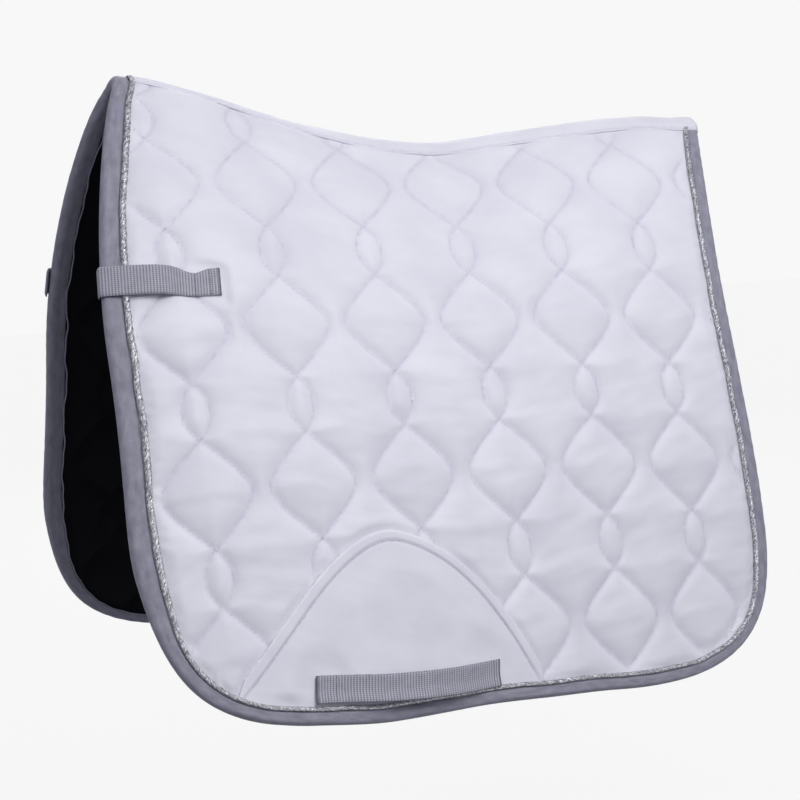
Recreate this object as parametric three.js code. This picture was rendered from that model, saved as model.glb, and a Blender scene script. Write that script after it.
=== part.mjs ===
// A dressage saddle pad, draped as it hangs over a horse's back.
//
// Millimetres. +X points to the horse's head, +Y to its left side, +Z up. The origin is on the
// underside of the spine, at its lowest point, where the pad rests on the back.
//
// Every piece is a three.js geometry that is first built flat and then bent over the saddle shape.
// A place on the pad is (x, d, lift): x along the back, d down the cloth from the spine, and lift
// outward from the face of the cloth.

import * as THREE from 'three';

// The spine.
const SPINE_LENGTH = 580;
const SPINE_HALF_WIDTH = 27;
const FOLD_GAP = 4;
const FLAP_TOP = SPINE_HALF_WIDTH + FOLD_GAP;
// Height of the ridge over its lowest point, at every eighth of the spine from its rear end. The
// last one lies past the front end, because the flaps reach further forward than the spine.
const RIDGE_HEIGHTS = [13.5, 17.5, 13.3, 6.1, 0, 9.7, 27.5, 51.9, 68, 56.4];
const RIDGE_STEP = SPINE_LENGTH / 8;

// How steeply the cloth falls, in degrees below level: near the ridge, and where it hangs.
const SHOULDER_DEG = { rear: 40, middle: 35, front: 45 };
const HANG_DEG = { rear: 83, front: 76 };
// How far down the cloth it takes to round the ridge, and to settle from shoulder to hang.
const RIDGE_SOFTNESS = 13;
const SETTLE = { rear: 130, front: 173 };
const DRAPE_STEPS = 24;
// How far apart the points are that give the cloth's slope.
const SURFACE_STEP = 0.5;

// The layers, each from its outer to its inner lift.
const OUTER_PANEL = [0, -1.2];
const PADDING = [-1.5, -7.5];
const LINING = [-7.8, -9];
const SPINE_TAPE = [0.8, -0.7];
const SPINE_PADDING = [-1.6, -7];
const SPINE_LINING_TAPE = [-7.5, -8.7];
const PAD_THICKNESS = 8.7;

// The edge binding, a folded channel round all the layers, and the cord beside it.
const BINDING_WIDTH = 14;
const BINDING_CLOTH = 1.1;
const BINDING_ROOM = 1.3;
const LAYER_INSET = 3;
const CORD_RADIUS = 2.1;
const CORD_INSET = BINDING_WIDTH + 0.4 + CORD_RADIUS;
const CORD_LIFT = 0.4 + CORD_RADIUS;
const CLEAR_OF_CORD = CORD_INSET + CORD_RADIUS + 1;

// Webbing.
const WEBBING_WIDTH = 25;
const WEBBING_THICKNESS = 1.4;
const GIRTH_LOOP_BOW = 12;
const BILLET_BOW = 9;
const CONTACT_GAP = 0.35;
const STITCH_ROW_LENGTH = 22;
const STITCH_ROW_WIDTH = 1.6;
const STITCH_ROW_HEIGHT = 0.8;

// How finely each piece is divided.
const PANEL_CELLS = [15, 14];
const SPINE_CELLS = [16, 6];
const EDGE_STEPS = 64;
// Half as many as the sides of the cord.
const CORD_ARC_STEPS = 3;
const PATCH_CELLS = [14, 6];
const LOOP_CELLS = [20, 2];
const BILLET_CELLS = [30, 1];
const STITCH_CELLS = [1, 4];

const lerp = THREE.MathUtils.lerp;
const radians = THREE.MathUtils.degToRad;

/** A finish for one kind of cloth. */
function cloth(hex, roughness, metalness = 0) {
  return new THREE.MeshStandardMaterial({ color: hex, roughness, metalness });
}

const whiteSatin = () => cloth(0xe2e2ea, 0.45);
const wadding = () => cloth(0xf0f0ee, 0.95);
const darkLining = () => cloth(0x101116, 0.85);
const greyBinding = () => cloth(0x9a9aac, 0.7);
const silverCord = () => cloth(0xb4b4b8, 0.35, 0.6);
const greyWebbing = () => cloth(0x8c8c94, 0.75);
const greyThread = () => cloth(0xa4a4aa, 0.6);

/** Height of the ridge over its lowest point: a smooth curve through the heights. */
function ridgeHeight(x) {
  const last = RIDGE_HEIGHTS.length - 1;
  const place = (x + SPINE_LENGTH / 2) / RIDGE_STEP;
  const i = THREE.MathUtils.clamp(Math.floor(place), 0, last - 1);
  const t = place - i;
  const slope = (k) => {
    const low = Math.max(k - 1, 0);
    const high = Math.min(k + 1, last);
    return (RIDGE_HEIGHTS[high] - RIDGE_HEIGHTS[low]) / (high - low);
  };
  const [a, b] = [RIDGE_HEIGHTS[i], RIDGE_HEIGHTS[i + 1]];
  const rise = b - a;
  const bend = slope(i) - rise;
  const unbend = slope(i + 1) - rise;
  return a + rise * t + t * (1 - t) * (bend * (1 - t) - unbend * t);
}

/** How steeply the cloth falls at a place on it, in radians below level. */
function fall(x, d) {
  const s = x / SPINE_LENGTH + 0.5;
  const hang = radians(lerp(HANG_DEG.rear, HANG_DEG.front, s));
  const shoulder = radians(
    SHOULDER_DEG.rear * (1 - s) * (1 - 2 * s) +
      SHOULDER_DEG.middle * 4 * s * (1 - s) +
      SHOULDER_DEG.front * s * (2 * s - 1),
  );
  const settle = lerp(SETTLE.rear, SETTLE.front, s);
  return (hang - (hang - shoulder) * Math.exp(-d / settle)) * (1 - Math.exp(-d / RIDGE_SOFTNESS));
}

/** The point on the cloth's outer face, d down from the ridge. A negative d is on the right side. */
function drape(x, d) {
  const down = Math.abs(d);
  let y = 0;
  let z = ridgeHeight(x) + PAD_THICKNESS;
  for (let i = 0; i < DRAPE_STEPS; i++) {
    const from = down * (i / DRAPE_STEPS) ** 2;
    const to = down * ((i + 1) / DRAPE_STEPS) ** 2;
    const angle = fall(x, (from + to) / 2);
    y += (to - from) * Math.cos(angle);
    z -= (to - from) * Math.sin(angle);
  }
  return new THREE.Vector3(x, Math.sign(d) * y, z);
}

/** The point at a lift off the cloth's outer face. */
function onPad(x, d, lift) {
  const step = SURFACE_STEP;
  const alongX = drape(x + step, d).sub(drape(x - step, d));
  const alongD = drape(x, d + step).sub(drape(x, d - step));
  const outward = alongX.cross(alongD).normalize();
  return drape(x, d).addScaledVector(outward, lift);
}

/** Moves every vertex of a flat geometry to where place(x, y, z) puts it. */
function bend(geometry, place) {
  const position = geometry.getAttribute('position');
  for (let i = 0; i < position.count; i++) {
    const point = place(position.getX(i), position.getY(i), position.getZ(i));
    position.setXYZ(i, point.x, point.y, point.z);
  }
  geometry.computeVertexNormals();
  return geometry;
}

/** The same geometry on the right side of the pad. */
function mirrored(geometry) {
  const copy = geometry.index ? geometry.toNonIndexed() : geometry.clone();
  const position = copy.getAttribute('position');
  for (let i = 0; i < position.count; i += 3) {
    const [a, b, c] = [i, i + 1, i + 2].map((k) => new THREE.Vector3().fromBufferAttribute(position, k));
    [a, c, b].forEach((corner, k) => position.setXYZ(i + k, corner.x, -corner.y, corner.z));
  }
  copy.computeVertexNormals();
  return copy;
}

/**
 * A unit block whose x and y run from 0 to 1, divided into cells, and whose z is 0 or 1. Its two
 * large faces are cut along the same diagonals, so that neighbouring layers stay parallel.
 */
function unitBlock(cellsX, cellsY) {
  const block = new THREE.BoxGeometry(1, 1, 1, cellsX, cellsY, 1).translate(0.5, 0.5, 0.5);
  const lowFace = block.groups[5];
  for (let i = lowFace.start; i < lowFace.start + lowFace.count; i += 6) {
    const [a, b, d, , c] = [0, 1, 2, 3, 4].map((k) => block.index.getX(i + k));
    [a, b, c, a, c, d].forEach((corner, k) => block.index.setX(i + k, corner));
  }
  return block;
}

// ---------------------------------------------------------------- the flap's outline

const FRONT_TOP = new THREE.Vector2(300, FLAP_TOP);
const REAR_TOP = new THREE.Vector2(-279, FLAP_TOP);
const FRONT_RIDGE_X = 293;
const REAR_RIDGE_X = -287;

/** The flap's edge laid flat: x along the back, y down the cloth, from the front round to the rear. */
function flapEdge() {
  const edge = new THREE.Path();
  edge.moveTo(FRONT_TOP.x, FRONT_TOP.y);
  edge.bezierCurveTo(316, 72, 342, 171, 342, 269);
  edge.bezierCurveTo(342, 380, 350, 414, 345, 450);
  edge.bezierCurveTo(335, 520, 312, 581, 250, 580);
  edge.bezierCurveTo(170, 579, 91, 538, 6, 538);
  edge.bezierCurveTo(-47, 538, -90, 555, -147, 553);
  edge.bezierCurveTo(-217, 550, -257, 514, -258, 427);
  edge.bezierCurveTo(-259, 367, -251, 279, -251, 217);
  edge.bezierCurveTo(-251, 150, -262, 82, REAR_TOP.x, REAR_TOP.y);
  return edge;
}

const EDGE = flapEdge();
const EDGE_LENGTHS = EDGE.getCurveLengths();
const FRONT_CORNER_CURVE = 2;
const REAR_CORNER_CURVE = 5;

/** How far round the edge, from 0 to 1, the middle of one of its curves lies. */
function middleOf(curve) {
  return (EDGE_LENGTHS[curve - 1] + EDGE_LENGTHS[curve]) / 2 / EDGE_LENGTHS.at(-1);
}

const FRONT_CORNER = middleOf(FRONT_CORNER_CURVE);
const REAR_CORNER = middleOf(REAR_CORNER_CURVE);

/** The flat point a share of the way round the edge, moved in from it, or along it at the top. */
function edgePoint(share, inset) {
  const u = THREE.MathUtils.clamp(share, 0, 1);
  const point = EDGE.getPointAt(u);
  const tangent = EDGE.getTangentAt(u);
  const square = THREE.MathUtils.smoothstep(point.y, FLAP_TOP, 3 * FLAP_TOP);
  return new THREE.Vector2(point.x - tangent.y * inset, point.y + tangent.x * inset * square);
}

/** The flat x of the edge over the spine, where it crosses the ridge in a round bow. */
function spineEndX(ridgeX, topX, d) {
  return lerp(ridgeX, topX, (d / FLAP_TOP) ** 2);
}

/** A flat point inside the flap: s from rear to front, t from the spine to the bottom edge. */
function flapPoint(s, t, inset) {
  const front = (v) => edgePoint(lerp(0, FRONT_CORNER, v), inset);
  const rear = (v) => edgePoint(lerp(1, REAR_CORNER, v), inset);
  const bottom = (u) => edgePoint(lerp(REAR_CORNER, FRONT_CORNER, u), inset);
  const top = (u) => new THREE.Vector2().lerpVectors(rear(0), front(0), u);
  const sides = rear(t).multiplyScalar(1 - s).addScaledVector(front(t), s);
  const ends = top(s).multiplyScalar(1 - t).addScaledVector(bottom(s), t);
  const corners = top(0)
    .multiplyScalar((1 - s) * (1 - t))
    .addScaledVector(top(1), s * (1 - t))
    .addScaledVector(bottom(0), (1 - s) * t)
    .addScaledVector(bottom(1), s * t);
  return sides.add(ends).sub(corners);
}

// ---------------------------------------------------------------- layers of the flap

/** One layer of the flap, from its outer to its inner lift. */
function flapLayer([outer, inner]) {
  const closerAtTop = (t) => (t + t ** 1.5) / 2;
  return bend(unitBlock(...PANEL_CELLS), (s, t, side) => {
    const flat = flapPoint(s, closerAtTop(t), LAYER_INSET);
    return onPad(flat.x, flat.y, lerp(inner, outer, side));
  });
}

/** A profile of the binding: x in from the edge, y the lift. */
function bindingProfile() {
  const outside = OUTER_PANEL[0] + BINDING_ROOM;
  const inside = LINING[1] - BINDING_ROOM;
  const channel = new THREE.Shape();
  channel.moveTo(0, outside + BINDING_CLOTH);
  channel.lineTo(0, inside - BINDING_CLOTH);
  channel.lineTo(BINDING_WIDTH, inside - BINDING_CLOTH);
  channel.lineTo(BINDING_WIDTH, inside);
  channel.lineTo(BINDING_CLOTH, inside);
  channel.lineTo(BINDING_CLOTH, outside);
  channel.lineTo(BINDING_WIDTH, outside);
  channel.lineTo(BINDING_WIDTH, outside + BINDING_CLOTH);
  return channel;
}

/** A profile of the piping cord beside the binding. */
function cordProfile() {
  return new THREE.Shape().absarc(CORD_INSET, CORD_LIFT, CORD_RADIUS, 0, 2 * Math.PI);
}

/** A profile run along a path and bent over the pad: flat(share, inset) is the path's flat point. */
function edging(profile, steps, flat) {
  const straight = new THREE.ExtrudeGeometry(profile, {
    depth: 1,
    steps,
    bevelEnabled: false,
    curveSegments: CORD_ARC_STEPS,
  });
  return bend(straight, (inset, lift, share) => {
    const point = flat(share, inset);
    return onPad(point.x, point.y, lift);
  });
}

/** The flat point in from the spine's front end, a share of the way from its right side to its left. */
function spineFront(share, inset) {
  const d = lerp(-SPINE_HALF_WIDTH, SPINE_HALF_WIDTH, share);
  return new THREE.Vector2(spineEndX(FRONT_RIDGE_X, FRONT_TOP.x, d) - inset, d);
}

// ---------------------------------------------------------------- the spine

/** A layer of the spine that ends short of the front binding by frontInset. */
function spineLayer([outer, inner], frontInset, rearInset) {
  return bend(unitBlock(...SPINE_CELLS), (s, t, side) => {
    const d = lerp(-SPINE_HALF_WIDTH, SPINE_HALF_WIDTH, t);
    const front = spineEndX(FRONT_RIDGE_X, FRONT_TOP.x, d) - frontInset;
    const rear = spineEndX(REAR_RIDGE_X, REAR_TOP.x, d) + rearInset;
    return onPad(lerp(rear, front, s), d, lerp(inner, outer, side));
  });
}

// ---------------------------------------------------------------- the girth patch and its loop

/** The arch of the girth patch laid flat, from its rear foot over the top to its front foot. */
function patchArch() {
  const arch = new THREE.Path();
  arch.moveTo(5, 510);
  arch.bezierCurveTo(38, 440, 78, 404, 122, 403);
  arch.bezierCurveTo(170, 402, 222, 492, 272, 546);
  return arch;
}

const PATCH_LIFT = [1.5, 0.35];

/** The share of the way round the edge that comes nearest to a flat point. */
function shareNearest(point) {
  let best = 0;
  for (let share = FRONT_CORNER; share < REAR_CORNER; share += 0.002) {
    const gap = edgePoint(share, 0).distanceTo(point);
    best = gap < edgePoint(best, 0).distanceTo(point) ? share : best;
  }
  return best;
}

function girthPatch() {
  const arch = patchArch();
  const rearShare = shareNearest(arch.getPoint(0));
  const frontShare = shareNearest(arch.getPoint(1));
  return bend(unitBlock(...PATCH_CELLS), (s, t, side) => {
    const top = arch.getPointAt(s);
    const bottom = edgePoint(lerp(rearShare, frontShare, s), CLEAR_OF_CORD);
    const flat = top.lerp(bottom, t);
    return onPad(flat.x, flat.y, lerp(PATCH_LIFT[1], PATCH_LIFT[0], side));
  });
}

const GIRTH_LOOP = {
  rear: new THREE.Vector2(47, 507.5),
  front: new THREE.Vector2(215, 541.5),
  rearSewn: 8,
  frontSewn: 20,
};

/** Lift of a bowed strap's underside: down where it is sewn, up between. */
function bow(along, from, to, height) {
  const t = THREE.MathUtils.clamp((along - from) / (to - from), 0, 1);
  return height * Math.sin(Math.PI * t) ** 1.2;
}

/** The flat point on the girth loop, along it from its rear end and across it from its middle. */
function onGirthLoop(along, across) {
  const way = GIRTH_LOOP.front.clone().sub(GIRTH_LOOP.rear).normalize();
  return new THREE.Vector2(
    GIRTH_LOOP.rear.x + way.x * along - way.y * across,
    GIRTH_LOOP.rear.y + way.y * along + way.x * across,
  );
}

const GIRTH_LOOP_LENGTH = GIRTH_LOOP.rear.distanceTo(GIRTH_LOOP.front);

function girthLoopLift(along) {
  const free = [GIRTH_LOOP.rearSewn, GIRTH_LOOP_LENGTH - GIRTH_LOOP.frontSewn];
  return PATCH_LIFT[0] + CONTACT_GAP + bow(along, ...free, GIRTH_LOOP_BOW);
}

function girthLoop() {
  return bend(unitBlock(...LOOP_CELLS), (s, t, side) => {
    const along = s * GIRTH_LOOP_LENGTH;
    const flat = onGirthLoop(along, (t - 0.5) * WEBBING_WIDTH);
    return onPad(flat.x, flat.y, girthLoopLift(along) + side * WEBBING_THICKNESS);
  });
}

/** A row of thread across a strap: flat(across) is its flat point, base the strap's upper lift. */
function stitchRow(flat, base) {
  return bend(unitBlock(...STITCH_CELLS), (s, t, side) => {
    const point = flat((s - 0.5) * STITCH_ROW_WIDTH, (t - 0.5) * STITCH_ROW_LENGTH);
    return onPad(point.x, point.y, base + CONTACT_GAP + side * STITCH_ROW_HEIGHT);
  });
}

function girthLoopStitchRow(along) {
  const base = girthLoopLift(along) + WEBBING_THICKNESS;
  return stitchRow((step, across) => onGirthLoop(along + step, across), base);
}

// ---------------------------------------------------------------- the billet strap

const BILLET_FRONT_X = 342;
const BILLET_D = 208.5;
const BILLET_SLOPE = 0.05;
const BILLET_ROWS = [77, 89];
const BILLET_CLEARANCE = 0.5;
const BILLET_FOLD_ROUND = 4;
const BILLET_SEWN_LIFT = OUTER_PANEL[0] + CONTACT_GAP + WEBBING_THICKNESS / 2;

/** The middle of the strap's thickness: x in from the pad's front edge, y the lift. */
function billetRoute() {
  const clearOfBinding = BINDING_ROOM + BINDING_CLOTH + BILLET_CLEARANCE + WEBBING_THICKNESS / 2;
  const over = OUTER_PANEL[0] + clearOfBinding;
  const tucked = (OUTER_PANEL[0] + LINING[1]) / 2;
  const front = -BILLET_CLEARANCE - WEBBING_THICKNESS / 2;
  const round = BILLET_FOLD_ROUND;
  const crown = over + BILLET_BOW;
  const sewn = BILLET_SEWN_LIFT;
  const at = (inset, lift) => new THREE.Vector2(inset, lift);
  const route = new THREE.CurvePath();
  route.add(new THREE.LineCurve(at(front, tucked), at(front, over - round)));
  route.add(new THREE.QuadraticBezierCurve(at(front, over - round), at(front, over), at(round, over + 1)));
  route.add(new THREE.CubicBezierCurve(at(round, over + 1), at(18, crown), at(30, crown), at(42, crown)));
  route.add(new THREE.CubicBezierCurve(at(42, crown), at(56, crown), at(62, sewn), at(74, sewn)));
  route.add(new THREE.LineCurve(at(74, sewn), at(99, sewn)));
  return route;
}

/** The flat point on the strap, at an inset from the front edge and across it from its middle. */
function onBillet(inset, across) {
  return new THREE.Vector2(BILLET_FRONT_X - inset, BILLET_D + BILLET_SLOPE * Math.max(inset, 0) + across);
}

function billetStrap() {
  const route = billetRoute();
  return bend(unitBlock(...BILLET_CELLS), (s, t, side) => {
    const middle = route.getPointAt(s);
    const way = route.getTangentAt(s);
    const off = (side - 0.5) * WEBBING_THICKNESS;
    const flat = onBillet(middle.x - way.y * off, (0.5 - t) * WEBBING_WIDTH);
    return onPad(flat.x, flat.y, middle.y + way.x * off);
  });
}

function billetStitchRow(inset) {
  const base = BILLET_SEWN_LIFT + WEBBING_THICKNESS / 2;
  return stitchRow((step, across) => onBillet(inset - step, across), base);
}

// ---------------------------------------------------------------- the assembly

/** The pieces of the left flap: name, geometry and finish. */
function flapPieces() {
  const flapEdging = (profile) => edging(profile, EDGE_STEPS, edgePoint);
  const frontRow = GIRTH_LOOP_LENGTH - GIRTH_LOOP.frontSewn + 2;
  const rearRow = GIRTH_LOOP.rearSewn - 2;
  return [
    ['outer_panel', flapLayer(OUTER_PANEL), whiteSatin],
    ['padding', flapLayer(PADDING), wadding],
    ['lining', flapLayer(LINING), darkLining],
    ['edge_binding', flapEdging(bindingProfile()), greyBinding],
    ['piping_cord', flapEdging(cordProfile()), silverCord],
    ['girth_patch', girthPatch(), whiteSatin],
    ['girth_loop', girthLoop(), greyWebbing],
    ['girth_loop_stitch_row_front', girthLoopStitchRow(frontRow), greyThread],
    ['girth_loop_stitch_row_rear', girthLoopStitchRow(rearRow), greyThread],
    ['billet_strap', billetStrap(), greyWebbing],
    ['billet_stitch_row_1', billetStitchRow(BILLET_ROWS[0]), greyThread],
    ['billet_stitch_row_2', billetStitchRow(BILLET_ROWS[1]), greyThread],
  ];
}

/** The pieces over the horse's back, which both flaps fold against. */
function spinePieces() {
  const frontEdging = (profile) => edging(profile, SPINE_CELLS[1], spineFront);
  const clearOfBinding = LAYER_INSET;
  return [
    ['spine_tape', spineLayer(SPINE_TAPE, CLEAR_OF_CORD, 0), whiteSatin],
    ['spine_padding', spineLayer(SPINE_PADDING, clearOfBinding, LAYER_INSET), wadding],
    ['spine_lining_tape', spineLayer(SPINE_LINING_TAPE, clearOfBinding, LAYER_INSET), darkLining],
    ['spine_edge_binding', frontEdging(bindingProfile()), greyBinding],
    ['spine_piping_cord', frontEdging(cordProfile()), silverCord],
  ];
}

function saddlePad() {
  const pad = new THREE.Group();
  const place = (name, geometry, finish) => {
    const mesh = new THREE.Mesh(geometry, finish());
    mesh.name = name;
    pad.add(mesh);
  };
  for (const [name, geometry, finish] of spinePieces()) {
    place(name, geometry, finish);
  }
  for (const [name, geometry, finish] of flapPieces()) {
    place(`left_${name}`, geometry, finish);
    place(`right_${name}`, mirrored(geometry), finish);
  }
  return pad;
}

export default saddlePad();
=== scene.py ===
"""A dressage saddle pad in its finishes: quilted satin flaps, spine tape, binding, silver cord and webbing.

Lengths are millimetres until a mesh is made. Every piece is drawn flat first, as points (x, d, lift): x along
the horse's back towards its head, d down the cloth from the spine, and lift off the cloth's outer face. The
drape then bends it over the horse's back.
"""

import logging
import math
from dataclasses import dataclass, field
from enum import Enum
from functools import cached_property
from typing import Any, Callable

import bpy
import numpy as np
from mathutils import Matrix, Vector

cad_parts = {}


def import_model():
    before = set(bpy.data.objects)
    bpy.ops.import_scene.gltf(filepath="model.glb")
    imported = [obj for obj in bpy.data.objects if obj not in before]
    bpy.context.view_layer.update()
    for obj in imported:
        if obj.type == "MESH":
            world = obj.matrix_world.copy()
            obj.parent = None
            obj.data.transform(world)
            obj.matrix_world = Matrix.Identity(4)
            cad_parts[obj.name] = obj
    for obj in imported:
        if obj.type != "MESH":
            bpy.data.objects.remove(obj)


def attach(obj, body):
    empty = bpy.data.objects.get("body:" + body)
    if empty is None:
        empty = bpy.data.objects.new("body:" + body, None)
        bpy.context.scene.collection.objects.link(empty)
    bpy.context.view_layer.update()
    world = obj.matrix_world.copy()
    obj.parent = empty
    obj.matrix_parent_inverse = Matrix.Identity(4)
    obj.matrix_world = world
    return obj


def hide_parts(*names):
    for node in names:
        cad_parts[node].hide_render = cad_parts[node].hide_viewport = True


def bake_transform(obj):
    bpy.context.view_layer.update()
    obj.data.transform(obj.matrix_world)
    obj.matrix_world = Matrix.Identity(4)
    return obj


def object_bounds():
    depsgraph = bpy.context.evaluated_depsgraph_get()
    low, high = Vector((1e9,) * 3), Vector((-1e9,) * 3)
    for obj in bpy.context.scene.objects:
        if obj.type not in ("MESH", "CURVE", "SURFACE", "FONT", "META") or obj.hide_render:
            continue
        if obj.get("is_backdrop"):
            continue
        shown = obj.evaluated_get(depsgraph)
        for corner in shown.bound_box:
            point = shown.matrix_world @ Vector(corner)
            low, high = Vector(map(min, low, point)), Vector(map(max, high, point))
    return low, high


LOG = logging.getLogger("saddle_pad")
METRES = 0.001

Array = np.ndarray
Tree = bpy.types.NodeTree
Socket = bpy.types.NodeSocket
Place = Callable[[Array, Array], Array]


# ------------------------------------------------------------------------------------------ small tools


def smooth(value: Array | float, low: float, high: float) -> Array:
    """Rises smoothly from 0 at low to 1 at high, or falls if high is below low.

    Args:
        value: The number or numbers to rate.
        low: Where the result is 0.
        high: Where the result is 1.

    Returns:
        The share from 0 to 1.
    """
    share = np.clip((np.asarray(value, float) - low) / (high - low), 0.0, 1.0)
    return share * share * (3.0 - 2.0 * share)


def cubic(points: tuple[tuple[float, float], ...], count: int) -> Array:
    """Points on one cubic curve, without its last.

    Args:
        points: Its start, its two handles and its end.
        count: How many points to give.

    Returns:
        An array of shape (count, 2).
    """
    a, b, c, e = (np.array(p, float) for p in points)
    t = (np.arange(count) / count)[:, None]
    return a * (1 - t) ** 3 + 3 * b * t * (1 - t) ** 2 + 3 * c * t**2 * (1 - t) + e * t**3


def ripple(x: Array, y: Array, length: float, seed: int) -> Array:
    """A gentle irregular wave over a plane, from about -1 to 1.

    Args:
        x: First coordinate of the points.
        y: Second coordinate of the points.
        length: The usual distance from crest to crest.
        seed: Chooses one of many such waves.

    Returns:
        The wave's height at each point.
    """
    rng = np.random.default_rng(seed)
    waves = 7
    angles = rng.uniform(0, math.tau, waves)
    sizes = rng.uniform(0.6, 1.6, waves)
    phases = rng.uniform(0, math.tau, waves)
    total = np.zeros(np.broadcast(x, y).shape)
    for angle, size, phase in zip(angles, sizes, phases):
        total = total + np.sin((x * math.cos(angle) + y * math.sin(angle)) * math.tau * size / length + phase)
    return total / math.sqrt(waves)


def grid_faces(rows: int, columns: int, wrap: bool = False) -> Array:
    """The four-cornered faces of a grid of points numbered row by row.

    Args:
        rows: How many rows of points.
        columns: How many points in a row.
        wrap: Whether each row closes on itself.

    Returns:
        An array of shape (faces, 4).
    """
    spans = columns if wrap else columns - 1
    first = np.arange(rows - 1)[:, None] * columns + np.arange(spans)[None, :]
    after = np.arange(rows - 1)[:, None] * columns + (np.arange(spans)[None, :] + 1) % columns
    return np.stack([first, after, after + columns, first + columns], -1).reshape(-1, 4)


@dataclass(frozen=True)
class Path:
    """A line through close points, asked for its place and its direction at distances along it."""

    points: Array

    @cached_property
    def reach(self) -> Array:
        """How far along the line each of its points lies."""
        steps = np.linalg.norm(np.diff(self.points, axis=0), axis=1)
        return np.concatenate([[0.0], np.cumsum(steps)])

    def at(self, stops: Array) -> Array:
        """The points at distances along the line."""
        return np.stack([np.interp(stops, self.reach, self.points[:, k]) for k in (0, 1)], -1)

    def way(self, stops: Array, half_step: float) -> Array:
        """The unit directions at distances along the line.

        Args:
            stops: The distances.
            half_step: How far ahead and behind each direction is taken.

        Returns:
            A unit vector for each distance.
        """
        way = self.at(stops + half_step) - self.at(stops - half_step)
        return way / np.linalg.norm(way, axis=-1, keepdims=True)


# ------------------------------------------------------------------------------------------ the drape


@dataclass(frozen=True)
class Drape:
    """The horse's back as the cloth lies on it.

    The ridge's heights are taken at every eighth of the spine from its rear end, with one past its front end.
    The cloth falls steeply or less so near the ridge, and then settles to how it hangs.
    """

    spine_length: float = 580.0
    ridge_heights: tuple[float, ...] = (13.5, 17.5, 13.3, 6.1, 0.0, 9.7, 27.5, 51.9, 68.0, 56.4)
    shoulder_deg: tuple[float, float, float] = (40.0, 35.0, 45.0)
    hang_deg: tuple[float, float] = (83.0, 76.0)
    settle: tuple[float, float] = (130.0, 173.0)
    ridge_softness: float = 13.0
    pad_thickness: float = 8.7
    steps: int = 24
    half_step: float = 0.5

    def ridge(self, x: Array) -> Array:
        """Height of the ridge over its lowest point, a smooth curve through the heights.

        Args:
            x: Places along the back.

        Returns:
            The height at each.
        """
        heights = np.array(self.ridge_heights)
        slopes = np.gradient(heights)
        spans = len(self.ridge_heights) - 2
        place = (x + self.spine_length / 2) / (self.spine_length / spans)
        i = np.clip(np.floor(place).astype(int), 0, len(heights) - 2)
        t = place - i
        rise = heights[i + 1] - heights[i]
        bend = slopes[i] - rise
        unbend = slopes[i + 1] - rise
        return heights[i] + rise * t + t * (1 - t) * (bend * (1 - t) - unbend * t)

    def fall(self, x: Array, d: Array) -> Array:
        """How steeply the cloth falls, in radians below level.

        Args:
            x: Places along the back.
            d: Places down the cloth.

        Returns:
            The angle at each place.
        """
        s = x / self.spine_length + 0.5
        rear, middle, front = self.shoulder_deg
        slope = rear * (1 - s) * (1 - 2 * s) + middle * 4 * s * (1 - s) + front * s * (2 * s - 1)
        shoulder = np.radians(slope)
        hang = np.radians(self.hang_deg[0] * (1 - s) + self.hang_deg[1] * s)
        settle = self.settle[0] * (1 - s) + self.settle[1] * s
        return (hang - (hang - shoulder) * np.exp(-d / settle)) * (1 - np.exp(-d / self.ridge_softness))

    def face(self, x: Array, d: Array) -> Array:
        """Points on the cloth's outer face. A negative d is on the right side.

        Args:
            x: Places along the back.
            d: Places down the cloth.

        Returns:
            An array of points, one for each place.
        """
        down = np.abs(d)
        y = np.zeros_like(down)
        z = self.ridge(x) + self.pad_thickness
        for i in range(self.steps):
            start = down * (i / self.steps) ** 2
            end = down * ((i + 1) / self.steps) ** 2
            angle = self.fall(x, (start + end) / 2)
            y = y + (end - start) * np.cos(angle)
            z = z - (end - start) * np.sin(angle)
        return np.stack([x, np.sign(d) * y, z], -1)

    def bend(self, flat: Array) -> Array:
        """Bends flat points over the back.

        Args:
            flat: Points (x, d, lift) of shape (n, 3).

        Returns:
            The points in the frame, still in millimetres.
        """
        x, d, lift = flat.T
        step = self.half_step
        along_x = self.face(x + step, d) - self.face(x - step, d)
        along_d = self.face(x, d + step) - self.face(x, d - step)
        outward = np.cross(along_x, along_d)
        outward /= np.linalg.norm(outward, axis=1, keepdims=True)
        return self.face(x, d) + outward * lift[:, None]


# ------------------------------------------------------------------------------------------ finishes


def linear(hex_colour: str) -> tuple[float, float, float, float]:
    """Turns an sRGB colour into the linear one that a shader takes.

    Args:
        hex_colour: Six hexadecimal digits.

    Returns:
        Red, green, blue and alpha.
    """
    parts = [int(hex_colour[i : i + 2], 16) / 255 for i in (0, 2, 4)]
    red, green, blue = (p / 12.92 if p <= 0.04045 else ((p + 0.055) / 1.055) ** 2.4 for p in parts)
    return red, green, blue, 1.0


def add_node(
    tree: Tree,
    kind: str,
    props: dict[str, Any] | None = None,
    values: dict[str | int, Any] | None = None,
    links: dict[str | int, Socket] | None = None,
) -> bpy.types.Node:
    """Adds a shader node.

    Args:
        tree: The material's or world's node tree.
        kind: The node's type name.
        props: Settings of the node itself.
        values: Values for its unlinked inputs.
        links: Outputs of other nodes, by the input that takes each.

    Returns:
        The new node.
    """
    made = tree.nodes.new(kind)
    for key, value in (props or {}).items():
        setattr(made, key, value)
    for key, value in (values or {}).items():
        made.inputs[key].default_value = value
    for key, source in (links or {}).items():
        tree.links.new(source, made.inputs[key])
    return made


def maths(tree: Tree, operation: str, *inputs: Socket | float) -> Socket:
    """Adds one step of arithmetic.

    Args:
        tree: The material's node tree.
        operation: What it works out.
        inputs: What it takes, each an output of another node or a number.

    Returns:
        The value output.
    """
    links = {k: given for k, given in enumerate(inputs) if isinstance(given, Socket)}
    values = {k: given for k, given in enumerate(inputs) if k not in links}
    return add_node(tree, "ShaderNodeMath", {"operation": operation}, values, links).outputs[0]


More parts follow.
